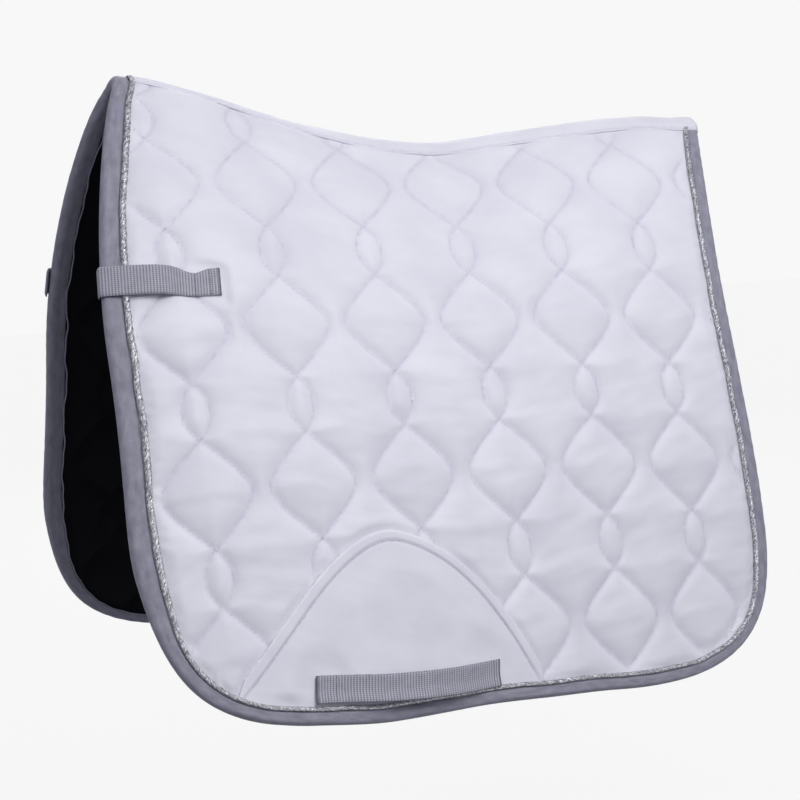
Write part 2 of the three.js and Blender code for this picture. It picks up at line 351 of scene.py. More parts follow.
def stored(tree: Tree, name: str, output: str) -> Socket:
    """Reads what is stored on the cloth's points: its flat places, or the weight of painted shade in its
    grooves and of melt at a strap's cut ends.
    """
    return add_node(tree, "ShaderNodeAttribute", {"attribute_name": name}).outputs[output]


def colour_ramp(tree: Tree, factor: Socket, stops: tuple[tuple[float, str], ...]) -> Socket:
    """Adds a ramp of colours.

    Args:
        tree: The material's node tree.
        factor: What the ramp reads.
        stops: Places from 0 to 1, each with its sRGB colour.

    Returns:
        The ramp's colour output.
    """
    ramp = add_node(tree, "ShaderNodeValToRGB", links={"Fac": factor})
    elements = ramp.color_ramp.elements
    while len(elements) < len(stops):
        elements.new(0.5)
    for element, (place, colour) in zip(elements, stops):
        element.position = place
        element.color = linear(colour)
    return ramp.outputs["Color"]


def flat_place(tree: Tree, scale_mm: tuple[float, float, float]) -> Socket:
    """The place on the flat cloth, counted in repeats of a pattern.

    Args:
        tree: The material's node tree.
        scale_mm: The pattern's size along, across and through the cloth.

    Returns:
        A vector output.
    """
    place = stored(tree, "flat", "Vector")
    repeats = tuple(1.0 / (size * METRES) for size in scale_mm)
    props = {"operation": "MULTIPLY"}
    return add_node(tree, "ShaderNodeVectorMath", props, {1: repeats}, {0: place}).outputs["Vector"]


def noise(tree: Tree, scale_mm: tuple[float, float, float], detail: float) -> Socket:
    """An irregular cloud of light and dark over the flat cloth.

    Args:
        tree: The material's node tree.
        scale_mm: The size of its patches along, across and through the cloth.
        detail: How many finer layers it has.

    Returns:
        A value output from 0 to 1.
    """
    links = {"Vector": flat_place(tree, scale_mm)}
    return add_node(tree, "ShaderNodeTexNoise", None, {"Scale": 1.0, "Detail": detail}, links).outputs["Fac"]


def weave(tree: Tree, warp_mm: float, weft_mm: float) -> Socket:
    """A plain weave: threads that pass over and under each other.

    Args:
        tree: The material's node tree.
        warp_mm: The distance from one lengthwise thread to the next.
        weft_mm: The distance from one crosswise thread to the next.

    Returns:
        The weave's height, a value output from 0 to 1.
    """
    place = flat_place(tree, (warp_mm / math.pi, weft_mm / math.pi, 1.0))
    parts = add_node(tree, "ShaderNodeSeparateXYZ", links={0: place}).outputs
    product = maths(tree, "MULTIPLY", maths(tree, "SINE", parts["X"]), maths(tree, "SINE", parts["Y"]))
    return maths(tree, "MULTIPLY_ADD", product, 0.5, 0.5)


def ribs(tree: Tree, rib_mm: float, float_mm: float) -> Socket:
    """Ribs across a strap, each dented where its threads cross.

    Args:
        tree: The material's node tree.
        rib_mm: The distance from one rib to the next.
        float_mm: The distance from one dent to the next along a rib.

    Returns:
        The ribs' height, a value output from 0 to 1.
    """
    place = flat_place(tree, (rib_mm / math.tau, float_mm / math.tau, 1.0))
    parts = add_node(tree, "ShaderNodeSeparateXYZ", links={0: place}).outputs
    rib_share, dent_share = 0.36, 0.14
    high = maths(tree, "MULTIPLY_ADD", maths(tree, "COSINE", parts["X"]), rib_share, 0.5)
    return maths(tree, "MULTIPLY_ADD", maths(tree, "COSINE", parts["Y"]), dent_share, high)


def bump(tree: Tree, height: Socket, depth_mm: float, under: Socket | None = None) -> Socket:
    """Raises and sinks a surface by a pattern.

    Args:
        tree: The material's node tree.
        height: The pattern, from 0 to 1.
        depth_mm: How deep it goes.
        under: A coarser bump that this one lies on.

    Returns:
        The normal output.
    """
    links = {"Height": height} | ({"Normal": under} if under else {})
    values = {"Strength": 1.0, "Distance": depth_mm * METRES}
    return add_node(tree, "ShaderNodeBump", None, values, links).outputs["Normal"]


def mixed(tree: Tree, factor: Socket, a: Socket, b: Socket) -> Socket:
    """Mixes two colours.

    Args:
        tree: The material's node tree.
        factor: 0 gives the first colour and 1 the second.
        a: The first colour.
        b: The second colour.

    Returns:
        The mixed colour output.
    """
    links = {0: factor, 6: a, 7: b}
    return add_node(tree, "ShaderNodeMix", {"data_type": "RGBA"}, links=links).outputs[2]


@dataclass(frozen=True)
class Finish:
    """What every cloth's finish has: the record's slot, its roughness, its gloss and its sheen."""

    slot: str
    roughness: float
    sheen: float = 0.0
    sheen_roughness: float = 0.5
    specular: float = 0.5
    metallic: float = 0.0

    def material(self) -> bpy.types.Material:
        """The Blender material, made on first use.

        Returns:
            The material named after the finish and its slot.
        """
        name = f"{type(self).__name__}_{self.slot}"
        known = bpy.data.materials.get(name)
        if known:
            return known
        made = bpy.data.materials.new(name)
        made.use_nodes = True
        tree = made.node_tree
        shader = tree.nodes["Principled BSDF"]
        levels = {
            "Roughness": self.roughness,
            "Metallic": self.metallic,
            "Specular IOR Level": self.specular,
            "Sheen Weight": self.sheen,
            "Sheen Roughness": self.sheen_roughness,
        }
        for level, value in levels.items():
            shader.inputs[level].default_value = value
        colour, normal = self.pattern(tree)
        tree.links.new(colour, shader.inputs["Base Color"])
        tree.links.new(normal, shader.inputs["Normal"])
        return made

    def pattern(self, tree: Tree) -> tuple[Socket, Socket]:
        """The colour and the relief, which each finish draws for itself.

        Args:
            tree: The material's node tree.

        Returns:
            The colour output and the normal output.
        """
        raise NotImplementedError


@dataclass(frozen=True)
class PolyesterSatin(Finish):
    """White polyester satin, piece-dyed and quilted: cool, smooth and softly glossy, with painted shade in
    its seams.
    """

    light: str = "E8E8F0"
    shade: str = "DFDFE9"
    # Painted shade: the grey-lavender that the cloth is given in its quilting grooves, where shade falls.
    seam_colour: str = "BEBED2"
    thread_mm: float = 1.3  # Really about 0.2 mm, drawn coarser so that it shows.
    thread_depth_mm: float = 0.035
    cloud_mm: tuple[float, float, float] = (70, 45, 70)
    seam_cloud_mm: float = 6.0
    crease_mm: tuple[float, float, float] = (28, 7, 40)
    crease_depth_mm: float = 0.2

    def pattern(self, tree: Tree) -> tuple[Socket, Socket]:
        """Cloudy white, with painted shade along the quilting seams, over fine threads and faint creases."""
        clouds = colour_ramp(tree, noise(tree, self.cloud_mm, 3), ((0.35, self.shade), (0.65, self.light)))
        seam_clouds = noise(tree, (self.seam_cloud_mm,) * 3, 2)
        seam_shade_tone = colour_ramp(tree, seam_clouds, ((0.3, self.seam_colour), (0.8, self.shade)))
        creases = bump(tree, noise(tree, self.crease_mm, 3), self.crease_depth_mm)
        threads = bump(tree, weave(tree, self.thread_mm, self.thread_mm), self.thread_depth_mm, creases)
        # The stored weight mixes in the painted shade along the grooves.
        return mixed(tree, stored(tree, "seam", "Fac"), clouds, seam_shade_tone), threads


@dataclass(frozen=True)
class BrushedLining(Finish):
    """Black brushed polyester lining: it drinks the light, with a faint nap over a plain weave."""

    dark: str = "06070B"
    light: str = "0D0E15"
    thread_mm: float = 1.6  # Really about 0.4 mm, drawn coarser so that it shows.
    thread_depth_mm: float = 0.1
    nap_mm: float = 25.0
    fuzz_mm: float = 2.5
    fuzz_depth_mm: float = 0.15

    def pattern(self, tree: Tree) -> tuple[Socket, Socket]:
        """Nearly black, with a cloudy nap and a weave."""
        nap = colour_ramp(tree, noise(tree, (self.nap_mm,) * 3, 4), ((0.3, self.dark), (0.7, self.light)))
        fuzz = bump(tree, noise(tree, (self.fuzz_mm,) * 3, 3), self.fuzz_depth_mm)
        return nap, bump(tree, weave(tree, self.thread_mm, self.thread_mm), self.thread_depth_mm, fuzz)


@dataclass(frozen=True)
class BindingTape(Finish):
    """Grey ribbed polyester tape, folded over the edge: a low silky gloss along fine cross ribs."""

    light: str = "9C9CAA"
    dark: str = "80808E"
    rib_mm: float = 1.4  # Really about 0.5 mm, drawn coarser so that it shows.
    rib_depth_mm: float = 0.06
    streak_mm: tuple[float, float, float] = (14, 5, 14)
    pucker_mm: tuple[float, float, float] = (7, 16, 16)
    pucker_depth_mm: float = 0.5

    def pattern(self, tree: Tree) -> tuple[Socket, Socket]:
        """Streaky grey over cross ribs and soft puckers."""
        streaks = colour_ramp(tree, noise(tree, self.streak_mm, 4), ((0.3, self.dark), (0.72, self.light)))
        puckers = bump(tree, noise(tree, self.pucker_mm, 2), self.pucker_depth_mm)
        return streaks, bump(tree, weave(tree, self.rib_mm, self.rib_mm * 3), self.rib_depth_mm, puckers)


@dataclass(frozen=True)
class MetallicCord(Finish):
    """Twisted cord with silver metallic thread: painted glints and painted shade, thread by thread, on its
    own mid grey.
    """

    dark: str = "55555E"
    middle: str = "A4A4AC"
    painted_highlight: str = "F2F2F4"
    glint_mm: tuple[float, float, float] = (1.44, 0.8, 4)
    thread_depth_mm: float = 0.35

    def pattern(self, tree: Tree) -> tuple[Socket, Socket]:
        """Each short length of thread gets a painted glint, a painted shade or the mid grey, in lines that
        follow the twist.
        """
        links = {"Vector": flat_place(tree, self.glint_mm)}
        cells = add_node(tree, "ShaderNodeTexVoronoi", None, {"Scale": 1.0}, links)
        tone = add_node(tree, "ShaderNodeSeparateColor", links={0: cells.outputs["Color"]}).outputs["Red"]
        # Painted light and shade: the lightest cells stand in for glints and the darkest for shade between
        # the threads.
        stops = ((0.05, self.dark), (0.3, self.middle), (0.6, self.middle), (0.9, self.painted_highlight))
        return colour_ramp(tree, tone, stops), bump(tree, cells.outputs["Distance"], self.thread_depth_mm)


@dataclass(frozen=True)
class NylonWebbing(Finish):
    """Grey woven nylon webbing: cross ribs of small floats, with painted highlights on their tops and painted
    shade in the gaps between them.
    """

    # The darkest grey is painted shade in the gaps between ribs and the lightest is a painted highlight on
    # their tops; the darkest also serves the random wear and the melted ends.
    gap: str = "6E6E7A"
    body: str = "9C9CA8"
    painted_highlight: str = "C2C2CE"
    melted: str = "4A4A54"
    rib_mm: float = 2.5
    rib_depth_mm: float = 0.35
    float_mm: float = 1.7
    worn_mm: tuple[float, float, float] = (9, 6, 9)
    worn_share: float = 0.5
    speckle_mm: tuple[float, float, float] = (20, 14, 20)
    melted_mm: float = 2.0

    def pattern(self, tree: Tree) -> tuple[Socket, Socket]:
        """Ribs across the strap, each broken into floats of thread."""
        threads = ribs(tree, self.rib_mm, self.float_mm)
        # Painted light and shade: the ribs' tops are painted lighter and the gaps between them darker.
        tone = colour_ramp(tree, threads, ((0.08, self.gap), (0.4, self.body), (0.95, self.painted_highlight)))
        worn = colour_ramp(tree, noise(tree, self.worn_mm, 4), ((0.3, self.gap), (0.7, self.body)))
        shares = maths(tree, "MULTIPLY", noise(tree, self.speckle_mm, 2), self.worn_share)
        cloth = mixed(tree, shares, tone, worn)
        lumps = noise(tree, (self.melted_mm,) * 3, 2)
        melted = colour_ramp(tree, lumps, ((0.3, self.melted), (0.7, self.gap)))
        return mixed(tree, stored(tree, "seam", "Fac"), cloth, melted), bump(tree, threads, self.rib_depth_mm)


@dataclass(frozen=True)
class SpunThread(Finish):
    """Spun polyester sewing thread: matt, with the twist of its plies."""

    light: str = "B6B6C0"
    dark: str = "94949E"
    tone_mm: float = 1.2
    twist_mm: float = 0.8
    twist_depth_mm: float = 0.15

    def pattern(self, tree: Tree) -> tuple[Socket, Socket]:
        """Two close greys, roughened by the twist."""
        tone = colour_ramp(tree, noise(tree, (self.tone_mm,) * 3, 2), ((0.3, self.dark), (0.7, self.light)))
        return tone, bump(tree, noise(tree, (self.twist_mm,) * 3, 1), self.twist_depth_mm)


@dataclass(frozen=True)
class LitAcrylic:
    """White acrylic table top, lit from below: even and shadowless, one white with the room."""

    surface: str = "38383A"
    glow: str = "F2F2F2"

    def material(self) -> bpy.types.Material:
        """The Blender material of the table top."""
        made = bpy.data.materials.new("lit_acrylic")
        made.use_nodes = True
        shader = made.node_tree.nodes["Principled BSDF"]
        shader.inputs["Base Color"].default_value = linear(self.surface)
        shader.inputs["Roughness"].default_value = 0.9
        shader.inputs["Specular IOR Level"].default_value = 0.1
        shader.inputs["Emission Color"].default_value = linear(self.glow)
        shader.inputs["Emission Strength"].default_value = 1.0
        return made


SATIN = PolyesterSatin("white_satin", roughness=0.5, sheen=0.15, sheen_roughness=0.4, specular=0.4)
LINING = BrushedLining("dark_lining", roughness=0.95, specular=0.12)
BINDING = BindingTape("grey_binding", roughness=0.6, sheen=0.2, specular=0.35)
CORD = MetallicCord("silver_cord", roughness=0.32, metallic=0.45)
WEBBING = NylonWebbing("grey_webbing", roughness=0.62, sheen=0.1, specular=0.4)
THREAD = SpunThread("grey_thread", roughness=0.8, specular=0.3)
WHITE_THREAD = SpunThread("white_satin", roughness=0.7, specular=0.3, light="E4E4EE", dark="D0D0DE")
SELVEDGE = SpunThread("grey_binding", roughness=0.7, specular=0.3, light="B4B4C0", dark="9C9CAA")
TABLE_TOP = LitAcrylic()


# ------------------------------------------------------------------------------------------ making objects


class Side(Enum):
    """Which flap a piece is on."""

    LEFT = "left"
    RIGHT = "right"

    @property
    def sign(self) -> float:
        """1 on the horse's left, where y is positive, and -1 on its right."""
        return 1.0 if self is Side.LEFT else -1.0


@dataclass
class Cut:
    """A piece cut and shaped flat, before it is bent over the back.

    flat holds its points (x, d, lift), faces their numbers, printed the place of each point in the cloth's
    own pattern, and the last a weight from 0 to 1 for each point: painted shade in the grooves of cloth,
    and melt at the cut ends of straps.
    """

    flat: Array
    faces: list[Any]
    printed: Array | None = None
    seam: Array | None = None


def shell(outer: Array, inner: Array, **extra: Array) -> Cut:
    """A closed piece between two grids of points.

    Args:
        outer: The outer face's points, of shape (rows, columns, 3).
        inner: The inner face's points, of the same shape.
        extra: The printed places and the painted shade weights of one face, for both.

    Returns:
        The closed piece.
    """
    rows, columns = outer.shape[:2]
    count = rows * columns
    face = grid_faces(rows, columns)
    around = np.concatenate(
        [
            np.arange(columns),
            np.arange(1, rows) * columns + columns - 1,
            count - 2 - np.arange(columns - 1),
            (rows - 2 - np.arange(rows - 2)) * columns,
        ]
    )
    after = np.roll(around, -1)
    rim = np.stack([around, around + count, after + count, after], -1)
    faces = np.concatenate([face, face[:, ::-1] + count, rim])
    both = {key: np.concatenate([value.reshape(count, -1)] * 2) for key, value in extra.items()}
    return Cut(np.concatenate([outer.reshape(-1, 3), inner.reshape(-1, 3)]), faces.tolist(), **both)


def sweep(sections: Array, printed: Array) -> Cut:
    """A closed piece through a row of rings, capped at both ends.

    Args:
        sections: The rings' points, of shape (rings, points, 3).
        printed: The place of each point in the cloth's pattern, of the same shape.

    Returns:
        The closed piece.
    """
    rings, points = sections.shape[:2]
    faces = grid_faces(rings, points, wrap=True).tolist()
    faces.append(list(range(points))[::-1])
    faces.append([(rings - 1) * points + k for k in range(points)])
    return Cut(sections.reshape(-1, 3), faces, printed.reshape(-1, 3))


@dataclass(frozen=True)
class Stitch:
    """One short stitch: its length, its width and how far it stands up."""

    long: float
    wide: float
    high: float


FINE_STITCH = Stitch(2.5, 0.7, 0.4)
HEAVY_STITCH = Stitch(2.3, 0.9, 0.6)


def stitches(middles: Array, ways: Array, stitch: Stitch) -> Cut:
    """A run of short stitches, each a low spindle.

    Args:
        middles: Flat points at their middles.
        ways: Unit vectors (x, d) along them.
        stitch: The size of each.

    Returns:
        All of them as one piece.
    """
    shank = 0.32
    corners = ((-0.5, 0.0), (0.0, 1.0), (0.5, 0.0), (0.0, -0.5))
    ring = [(a, b, c) for a in (-shank, shank) for b, c in corners]
    template = np.array([(-0.5, 0.0, 0.0)] + ring + [(0.5, 0.0, 0.0)])
    tips = [[0, 1 + k, 1 + (k + 1) % 4] for k in range(4)]
    body = [[1 + k, 5 + k, 5 + (k + 1) % 4, 1 + (k + 1) % 4] for k in range(4)]
    ends = [[9, 5 + (k + 1) % 4, 5 + k] for k in range(4)]
    faces = [[corner + 10 * i for corner in f] for i in range(len(middles)) for f in tips + body + ends]
    across = np.stack([-ways[:, 1], ways[:, 0]], -1)
    flat = np.repeat(middles[:, None, :], len(template), axis=1)
    flat[:, :, :2] += template[None, :, 0:1] * stitch.long * ways[:, None, :]
    flat[:, :, :2] += template[None, :, 1:2] * stitch.wide * across[:, None, :]
    flat[:, :, 2] += template[None, :, 2] * stitch.high
    return Cut(flat.reshape(-1, 3), faces)


def along(points: Array, spacing: float) -> tuple[Array, Array]:
    """Places spaced evenly along a line, and its direction at each.

    Args:
        points: The line's points, of shape (n, 2).
        spacing: The distance from one place to the next.

    Returns:
        The places and the unit directions.
    """
    path = Path(points)
    length = path.reach[-1]
    count = max(int(length / spacing), 1)
    stops = (np.arange(count) + 0.5) * length / count
    return path.at(stops), path.way(stops, 0.5)


@dataclass
class Workroom:
    """Turns flat cuts into Blender objects on the frame."""

    drape: Drape
    fold_start: float = 22.0
    fold_end: float = 85.0
    made: list[str] = field(default_factory=list)

    def sew(self, name: str, cut: Cut, finish: Finish, side: Side = Side.LEFT) -> bpy.types.Object:
        """Bends a cut over the back and makes it an object.

        Args:
            name: The object's name.
            cut: The flat piece.
            finish: What it is made of.
            side: The flap it is on. Spine pieces are drawn across both and count as left.

        Returns:
            The new object.
        """
        points = self.drape.bend(cut.flat) * METRES
        faces = cut.faces
        if side is Side.RIGHT:
            points = points * (1.0, -1.0, 1.0)
            faces = [f[::-1] for f in faces]
        mesh = bpy.data.meshes.new(name)
        mesh.from_pydata(points.tolist(), [], faces)
        mesh.shade_smooth()
        printed = (cut.flat if cut.printed is None else cut.printed) * METRES
        places = mesh.attributes.new("flat", "FLOAT_VECTOR", "POINT").data
        places.foreach_set("vector", printed.astype(np.float32).ravel())
        # The second weight puts painted shade into the grooves of cloth, and melt into the cut ends of
        # straps.
        seam = np.zeros(len(points)) if cut.seam is None else cut.seam.ravel()
        shares = mesh.attributes.new("seam", "FLOAT", "POINT").data
        shares.foreach_set("value", seam.astype(np.float32))
        mesh.materials.append(finish.material())
        piece = bpy.data.objects.new(name, mesh)
        bpy.context.scene.collection.objects.link(piece)
        self.made.append(name)
        LOG.info("%s: %d points, %d faces", name, len(points), len(faces))
        return piece

    def fold(self, piece: bpy.types.Object, side: Side) -> None:
        """Bakes a piece's place into its points.

        Args:
            piece: The piece that crosses the fold.
            side: Not used.
        """
        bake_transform(piece)


# ------------------------------------------------------------------------------------------ the flat pattern


@dataclass(frozen=True)
class PadOutline:
    """The pad's edge laid flat, from the ridge at the front, round the flap, to the ridge at the rear."""

    front_ridge_x: float = 293.0
    rear_ridge_x: float = -287.0
    top_d: float = 31.0
    samples: int = 160
    ridge_samples: int = 40
    near_ends: int = 300
    front_extra: float = 0.2
    bottom_less: float = 0.22
    curves: tuple[tuple[tuple[float, float], ...], ...] = (
        ((300, 31), (316, 72), (342, 171), (342, 269)),
        ((342, 269), (342, 380), (350, 414), (345, 450)),
        ((345, 450), (335, 520), (312, 581), (250, 580)),
        ((250, 580), (170, 579), (91, 538), (6, 538)),
        ((6, 538), (-47, 538), (-90, 555), (-147, 553)),
        ((-147, 553), (-217, 550), (-257, 514), (-258, 427)),
        ((-258, 427), (-259, 367), (-251, 279), (-251, 217)),
        ((-251, 217), (-251, 150), (-262, 82), (-279, 31)),
    )

    def end_x(self, d: Array, front: bool) -> Array:
        """The x of the spine's front or rear end, which crosses the ridge in a round bow.

        Args:
            d: Places across the spine.
            front: Whether it is the front end.

        Returns:
            The x at each place.
        """
        ridge = self.front_ridge_x if front else self.rear_ridge_x
        top = self.curves[0][0][0] if front else self.curves[-1][-1][0]
        return ridge + (top - ridge) * (d / self.top_d) ** 2

    @cached_property
    def line(self) -> Array:
        """All the edge's points, close together."""
        over = np.linspace(0, self.top_d, self.ridge_samples, endpoint=False)
        front = np.stack([self.end_x(over, True), over], -1)
        round_flap = [cubic(curve, self.samples) for curve in self.curves]
        back = np.linspace(self.top_d, 0, self.ridge_samples + 1)
        rear = np.stack([self.end_x(back, False), back], -1)
        return np.concatenate([front, *round_flap, rear])

    @cached_property
    def path(self) -> Path:
        """The edge, asked by the distance along it."""
        return Path(self.line)

    @property
    def reach(self) -> Array:
        """How far along the edge each point lies."""
        return self.path.reach

    def trim_scale(self, x: Array, d: Array) -> Array:
        """How wide the trims lie against their usual width: wider at the front, narrower at the bottom.

        Args:
            x: Places along the back.
            d: Places down the cloth.

        Returns:
            The scale at each place.
        """
        low = smooth(d, 440.0, 535.0)
        front = smooth(x, 230.0, 320.0) * smooth(d, 20.0, 90.0) * (1 - low)
        return 1 + self.front_extra * front - self.bottom_less * low

    def middle_of(self, curve: int) -> float:
        """How far along the edge the middle of one of the flap's curves lies."""
        return float(self.reach[self.ridge_samples + self.samples * curve + self.samples // 2])

    def reach_at(self, d: float, front: bool) -> float:
        """How far along the edge it crosses a depth, at the front or the rear.

        Args:
            d: The depth down the cloth, less than where the corners begin.
            front: Whether it is at the front.

        Returns:
            The distance along the edge.
        """
        if front:
            head = slice(self.near_ends)
            return float(np.interp(d, self.line[head, 1], self.reach[head]))
        tail = slice(-self.near_ends, None)
        return float(np.interp(-d, -self.line[tail, 1], self.reach[tail]))

    def at(self, reach: Array, inset: Array) -> Array:
        """Flat points in from the edge.

        Args:
            reach: Distances along the edge.
            inset: Distances in from it.

        Returns:
            Points (x, d).
        """
        point = self.path.at(reach)
        way = self.path.way(reach, 2.0)
        rear_top = np.where(point[..., 0] < 0, smooth(point[..., 1], self.top_d, 3 * self.top_d), 1.0)
        ridge = np.where(point[..., 1] < 1.0, 0.0, 1.0)
        scaled = np.asarray(inset) * self.trim_scale(point[..., 0], point[..., 1])
        return point + np.stack([-way[..., 1], way[..., 0] * rear_top * ridge], -1) * scaled[..., None]

    def depth(self, x: Array, d: Array) -> Array:
        """How far flat points lie from the flap's edge, counted as the binding's usual width counts.

        Args:
            x: Places along the back.
            d: Places down the cloth.

        Returns:
            The distance of each.
        """
        edge = self.line[10:-10:3]
        flat_x, flat_d = np.ravel(x), np.ravel(d)
        nearest = np.full(flat_x.shape, np.inf)
        for start in range(0, len(edge), 40):
            part = edge[start : start + 40]
            gap = np.hypot(flat_x[:, None] - part[None, :, 0], flat_d[:, None] - part[None, :, 1])
            nearest = np.minimum(nearest, gap.min(axis=1))
        return nearest.reshape(np.shape(x)) / self.trim_scale(x, d)

    def grid(self, rows: int, columns: int, inset: float, top: float) -> Array:
        """Flat points all over the flap, in rows from the rear to the front.

        Args:
            rows: How many rows, from the spine down.
            columns: How many points in each.
            inset: How far in from the edge they stop.
            top: The depth at which the first row starts.

        Returns:
            Points of shape (rows, columns, 2).
        """
        starts = self.reach_at(top, True), self.reach_at(top, False)
        corners = self.middle_of(2), self.middle_of(5)
        t = np.linspace(0, 1, rows)
        s = np.linspace(0, 1, columns)
        front = self.at(starts[0] + (corners[0] - starts[0]) * t, np.full(rows, inset))
        rear = self.at(starts[1] + (corners[1] - starts[1]) * t, np.full(rows, inset))
        bottom = self.at(corners[1] + (corners[0] - corners[1]) * s, np.full(columns, inset))
        upper = rear[0] + (front[0] - rear[0]) * s[:, None]
        s, t = s[None, :, None], t[:, None, None]
        sides = rear[:, None] * (1 - s) + front[:, None] * s
        ends = upper[None] * (1 - t) + bottom[None] * t
        top_corners = upper[0] * (1 - s) + upper[-1] * s
        low_corners = bottom[0] * (1 - s) + bottom[-1] * s
        return sides + ends - (top_corners * (1 - t) + low_corners * t)


@dataclass(frozen=True)
class Quilting:
    """The quilting: two lines of stitching on each column, which cross between narrow and wide lobes."""

    drape: Drape
    first_column: float = 279.3
    column_step: float = 90.93
    first_row: float = 112.9
    narrow_long: float = 47.1
    narrow_wide: float = 11.2
    wide_long: float = 89.15
    wide_wide: float = 37.2
    shoulder_round: float = 0.36
    follow_ridge: float = 0.98
    lean: float = 0.03
    table_step: float = 0.75
    columns: range = range(-1, 8)
    ridge_known: tuple[float, float] = (-350.0, 355.0)

    @property
    def repeat(self) -> float:
        """Length of one narrow and one wide lobe."""
        return self.narrow_long + self.wide_long

    def half_width(self, v: Array) -> Array:
        """Half the width of the lobes, down one repeat.

        Args:
            v: Places down the repeat, from the top of the narrow lobe.

        Returns:
            The half width at each.
        """
        narrow = np.abs(2 * v / self.narrow_long - 1)
        wide = np.abs(2 * (v - self.narrow_long) / self.wide_long - 1)
        round_off = self.shoulder_round
        reach = np.sqrt(1 + round_off**2) - round_off
        wide_share = 1 - (np.sqrt(wide**2 + round_off**2) - round_off) / reach
        narrow_share = 1 - narrow**2.3
        return np.where(v < self.narrow_long, self.narrow_wide * narrow_share, self.wide_wide * wide_share)

    def down(self, x: Array, d: Array) -> Array:
        """The place down the pattern, which follows the ridge.

        Args:
            x: Places along the back.
            d: Places down the cloth.

        Returns:
            Distances down from the first crossing.
        """
        return d - self.first_row - self.follow_ridge * self.drape.ridge(x) + self.lean * x

    @cached_property
    def table(self) -> Array:
        """Distance to the nearest line of stitching, over one repeat of the pattern."""
        v = np.arange(-30, self.repeat + 30, 0.6)
        wide = self.half_width(v % self.repeat)
        shifts = (0, self.column_step)
        lines = [np.stack([shift + sign * wide, v], -1) for shift in shifts for sign in (-1, 1)]
        points = np.concatenate(lines)
        u = np.arange(0, self.column_step + self.table_step, self.table_step)
        down = np.arange(0, self.repeat + self.table_step, self.table_step)
        result = np.full((len(down), len(u)), np.inf)
        for part in np.array_split(points, 24):
            gap = np.hypot(u[None, :, None] - part[:, 0], down[:, None, None] - part[:, 1])
            result = np.minimum(result, gap.min(axis=2))
        return result

    def distance(self, x: Array, d: Array) -> Array:
        """Distance to the nearest line of stitching.

        Args:
            x: Places along the back.
            d: Places down the cloth.

        Returns:
            The distance at each place.
        """
        u = ((x - self.first_column) % self.column_step) / self.table_step
        v = (self.down(x, d) % self.repeat) / self.table_step
        i, j = v.astype(int), u.astype(int)
        i = np.minimum(i, self.table.shape[0] - 2)
        j = np.minimum(j, self.table.shape[1] - 2)
        a, b = v - i, u - j
        upper = self.table[i, j] * (1 - b) + self.table[i, j + 1] * b
        lower = self.table[i + 1, j] * (1 - b) + self.table[i + 1, j + 1] * b
        return upper * (1 - a) + lower * a

    def lines(self) -> list[Array]:
        """Every line of stitching over the flap, as flat points, unclipped.

        Returns:
            One array of points (x, d) for each line.
        """
        v = np.arange(-2 * self.repeat, 5 * self.repeat, 1.5)
        turns = np.where(v % self.repeat < self.narrow_long, 1.0, -1.0)
        found = []
        for column in self.columns:
            middle = self.first_column - column * self.column_step
            for sign in (-1, 1):
                x = middle + sign * turns * self.half_width(v % self.repeat)
                ridge = self.drape.ridge(np.clip(x, *self.ridge_known))
                d = v + self.first_row + self.follow_ridge * ridge - self.lean * x
                found.append(np.stack([x, d], -1))
        return found


@dataclass(frozen=True)
class GirthPatchOutline:
    """The arch of the girth patch and where its loop is sewn."""

    curves: tuple[tuple[tuple[float, float], ...], ...] = (
        ((5, 510), (38, 440), (78, 404), (122, 403)),
        ((122, 403), (170, 402), (222, 492), (272, 546)),
    )
    arch_points: int = 260
    loop_rear: tuple[float, float] = (47.0, 507.5)
    loop_front: tuple[float, float] = (215.0, 541.5)

    @cached_property
    def arch(self) -> Array:
        """Points along the arch from its rear foot to its front foot, evenly spaced."""
        rough = np.concatenate([*(cubic(c, 200) for c in self.curves), [self.curves[-1][-1]]])
        path = Path(rough)
        return path.at(np.linspace(0, path.reach[-1], self.arch_points))

    def under(self, x: Array, d: Array) -> Array:
        """How far below the arch flat points lie, negative above it.

        Args:
            x: Places along the back.
            d: Places down the cloth.

        Returns:
            The depth below the arch.
        """
        low, high = self.arch[0], self.arch[-1]
        past = np.maximum(low[0] - x, 0) + np.maximum(x - high[0], 0)
        return d - np.interp(x, self.arch[:, 0], self.arch[:, 1]) - 2 * past


@dataclass(frozen=True)
class TapeOutline:
    """The white spine tape laid flat, which narrows towards the withers."""

    half: float = 27.0
    half_at_withers: float = 13.5
    narrows: tuple[float, float] = (40.0, 225.0)

    def half_at(self, x: Array | float) -> Array:
        """Half the tape's width at places along the back."""
        return self.half - (self.half - self.half_at_withers) * smooth(x, *self.narrows)


OUTLINE = PadOutline()
TAPE = TapeOutline()
DRAPE = Drape()
QUILTING = Quilting(DRAPE)
PATCH = GirthPatchOutline()


# ------------------------------------------------------------------------------------------ the flap's cloths


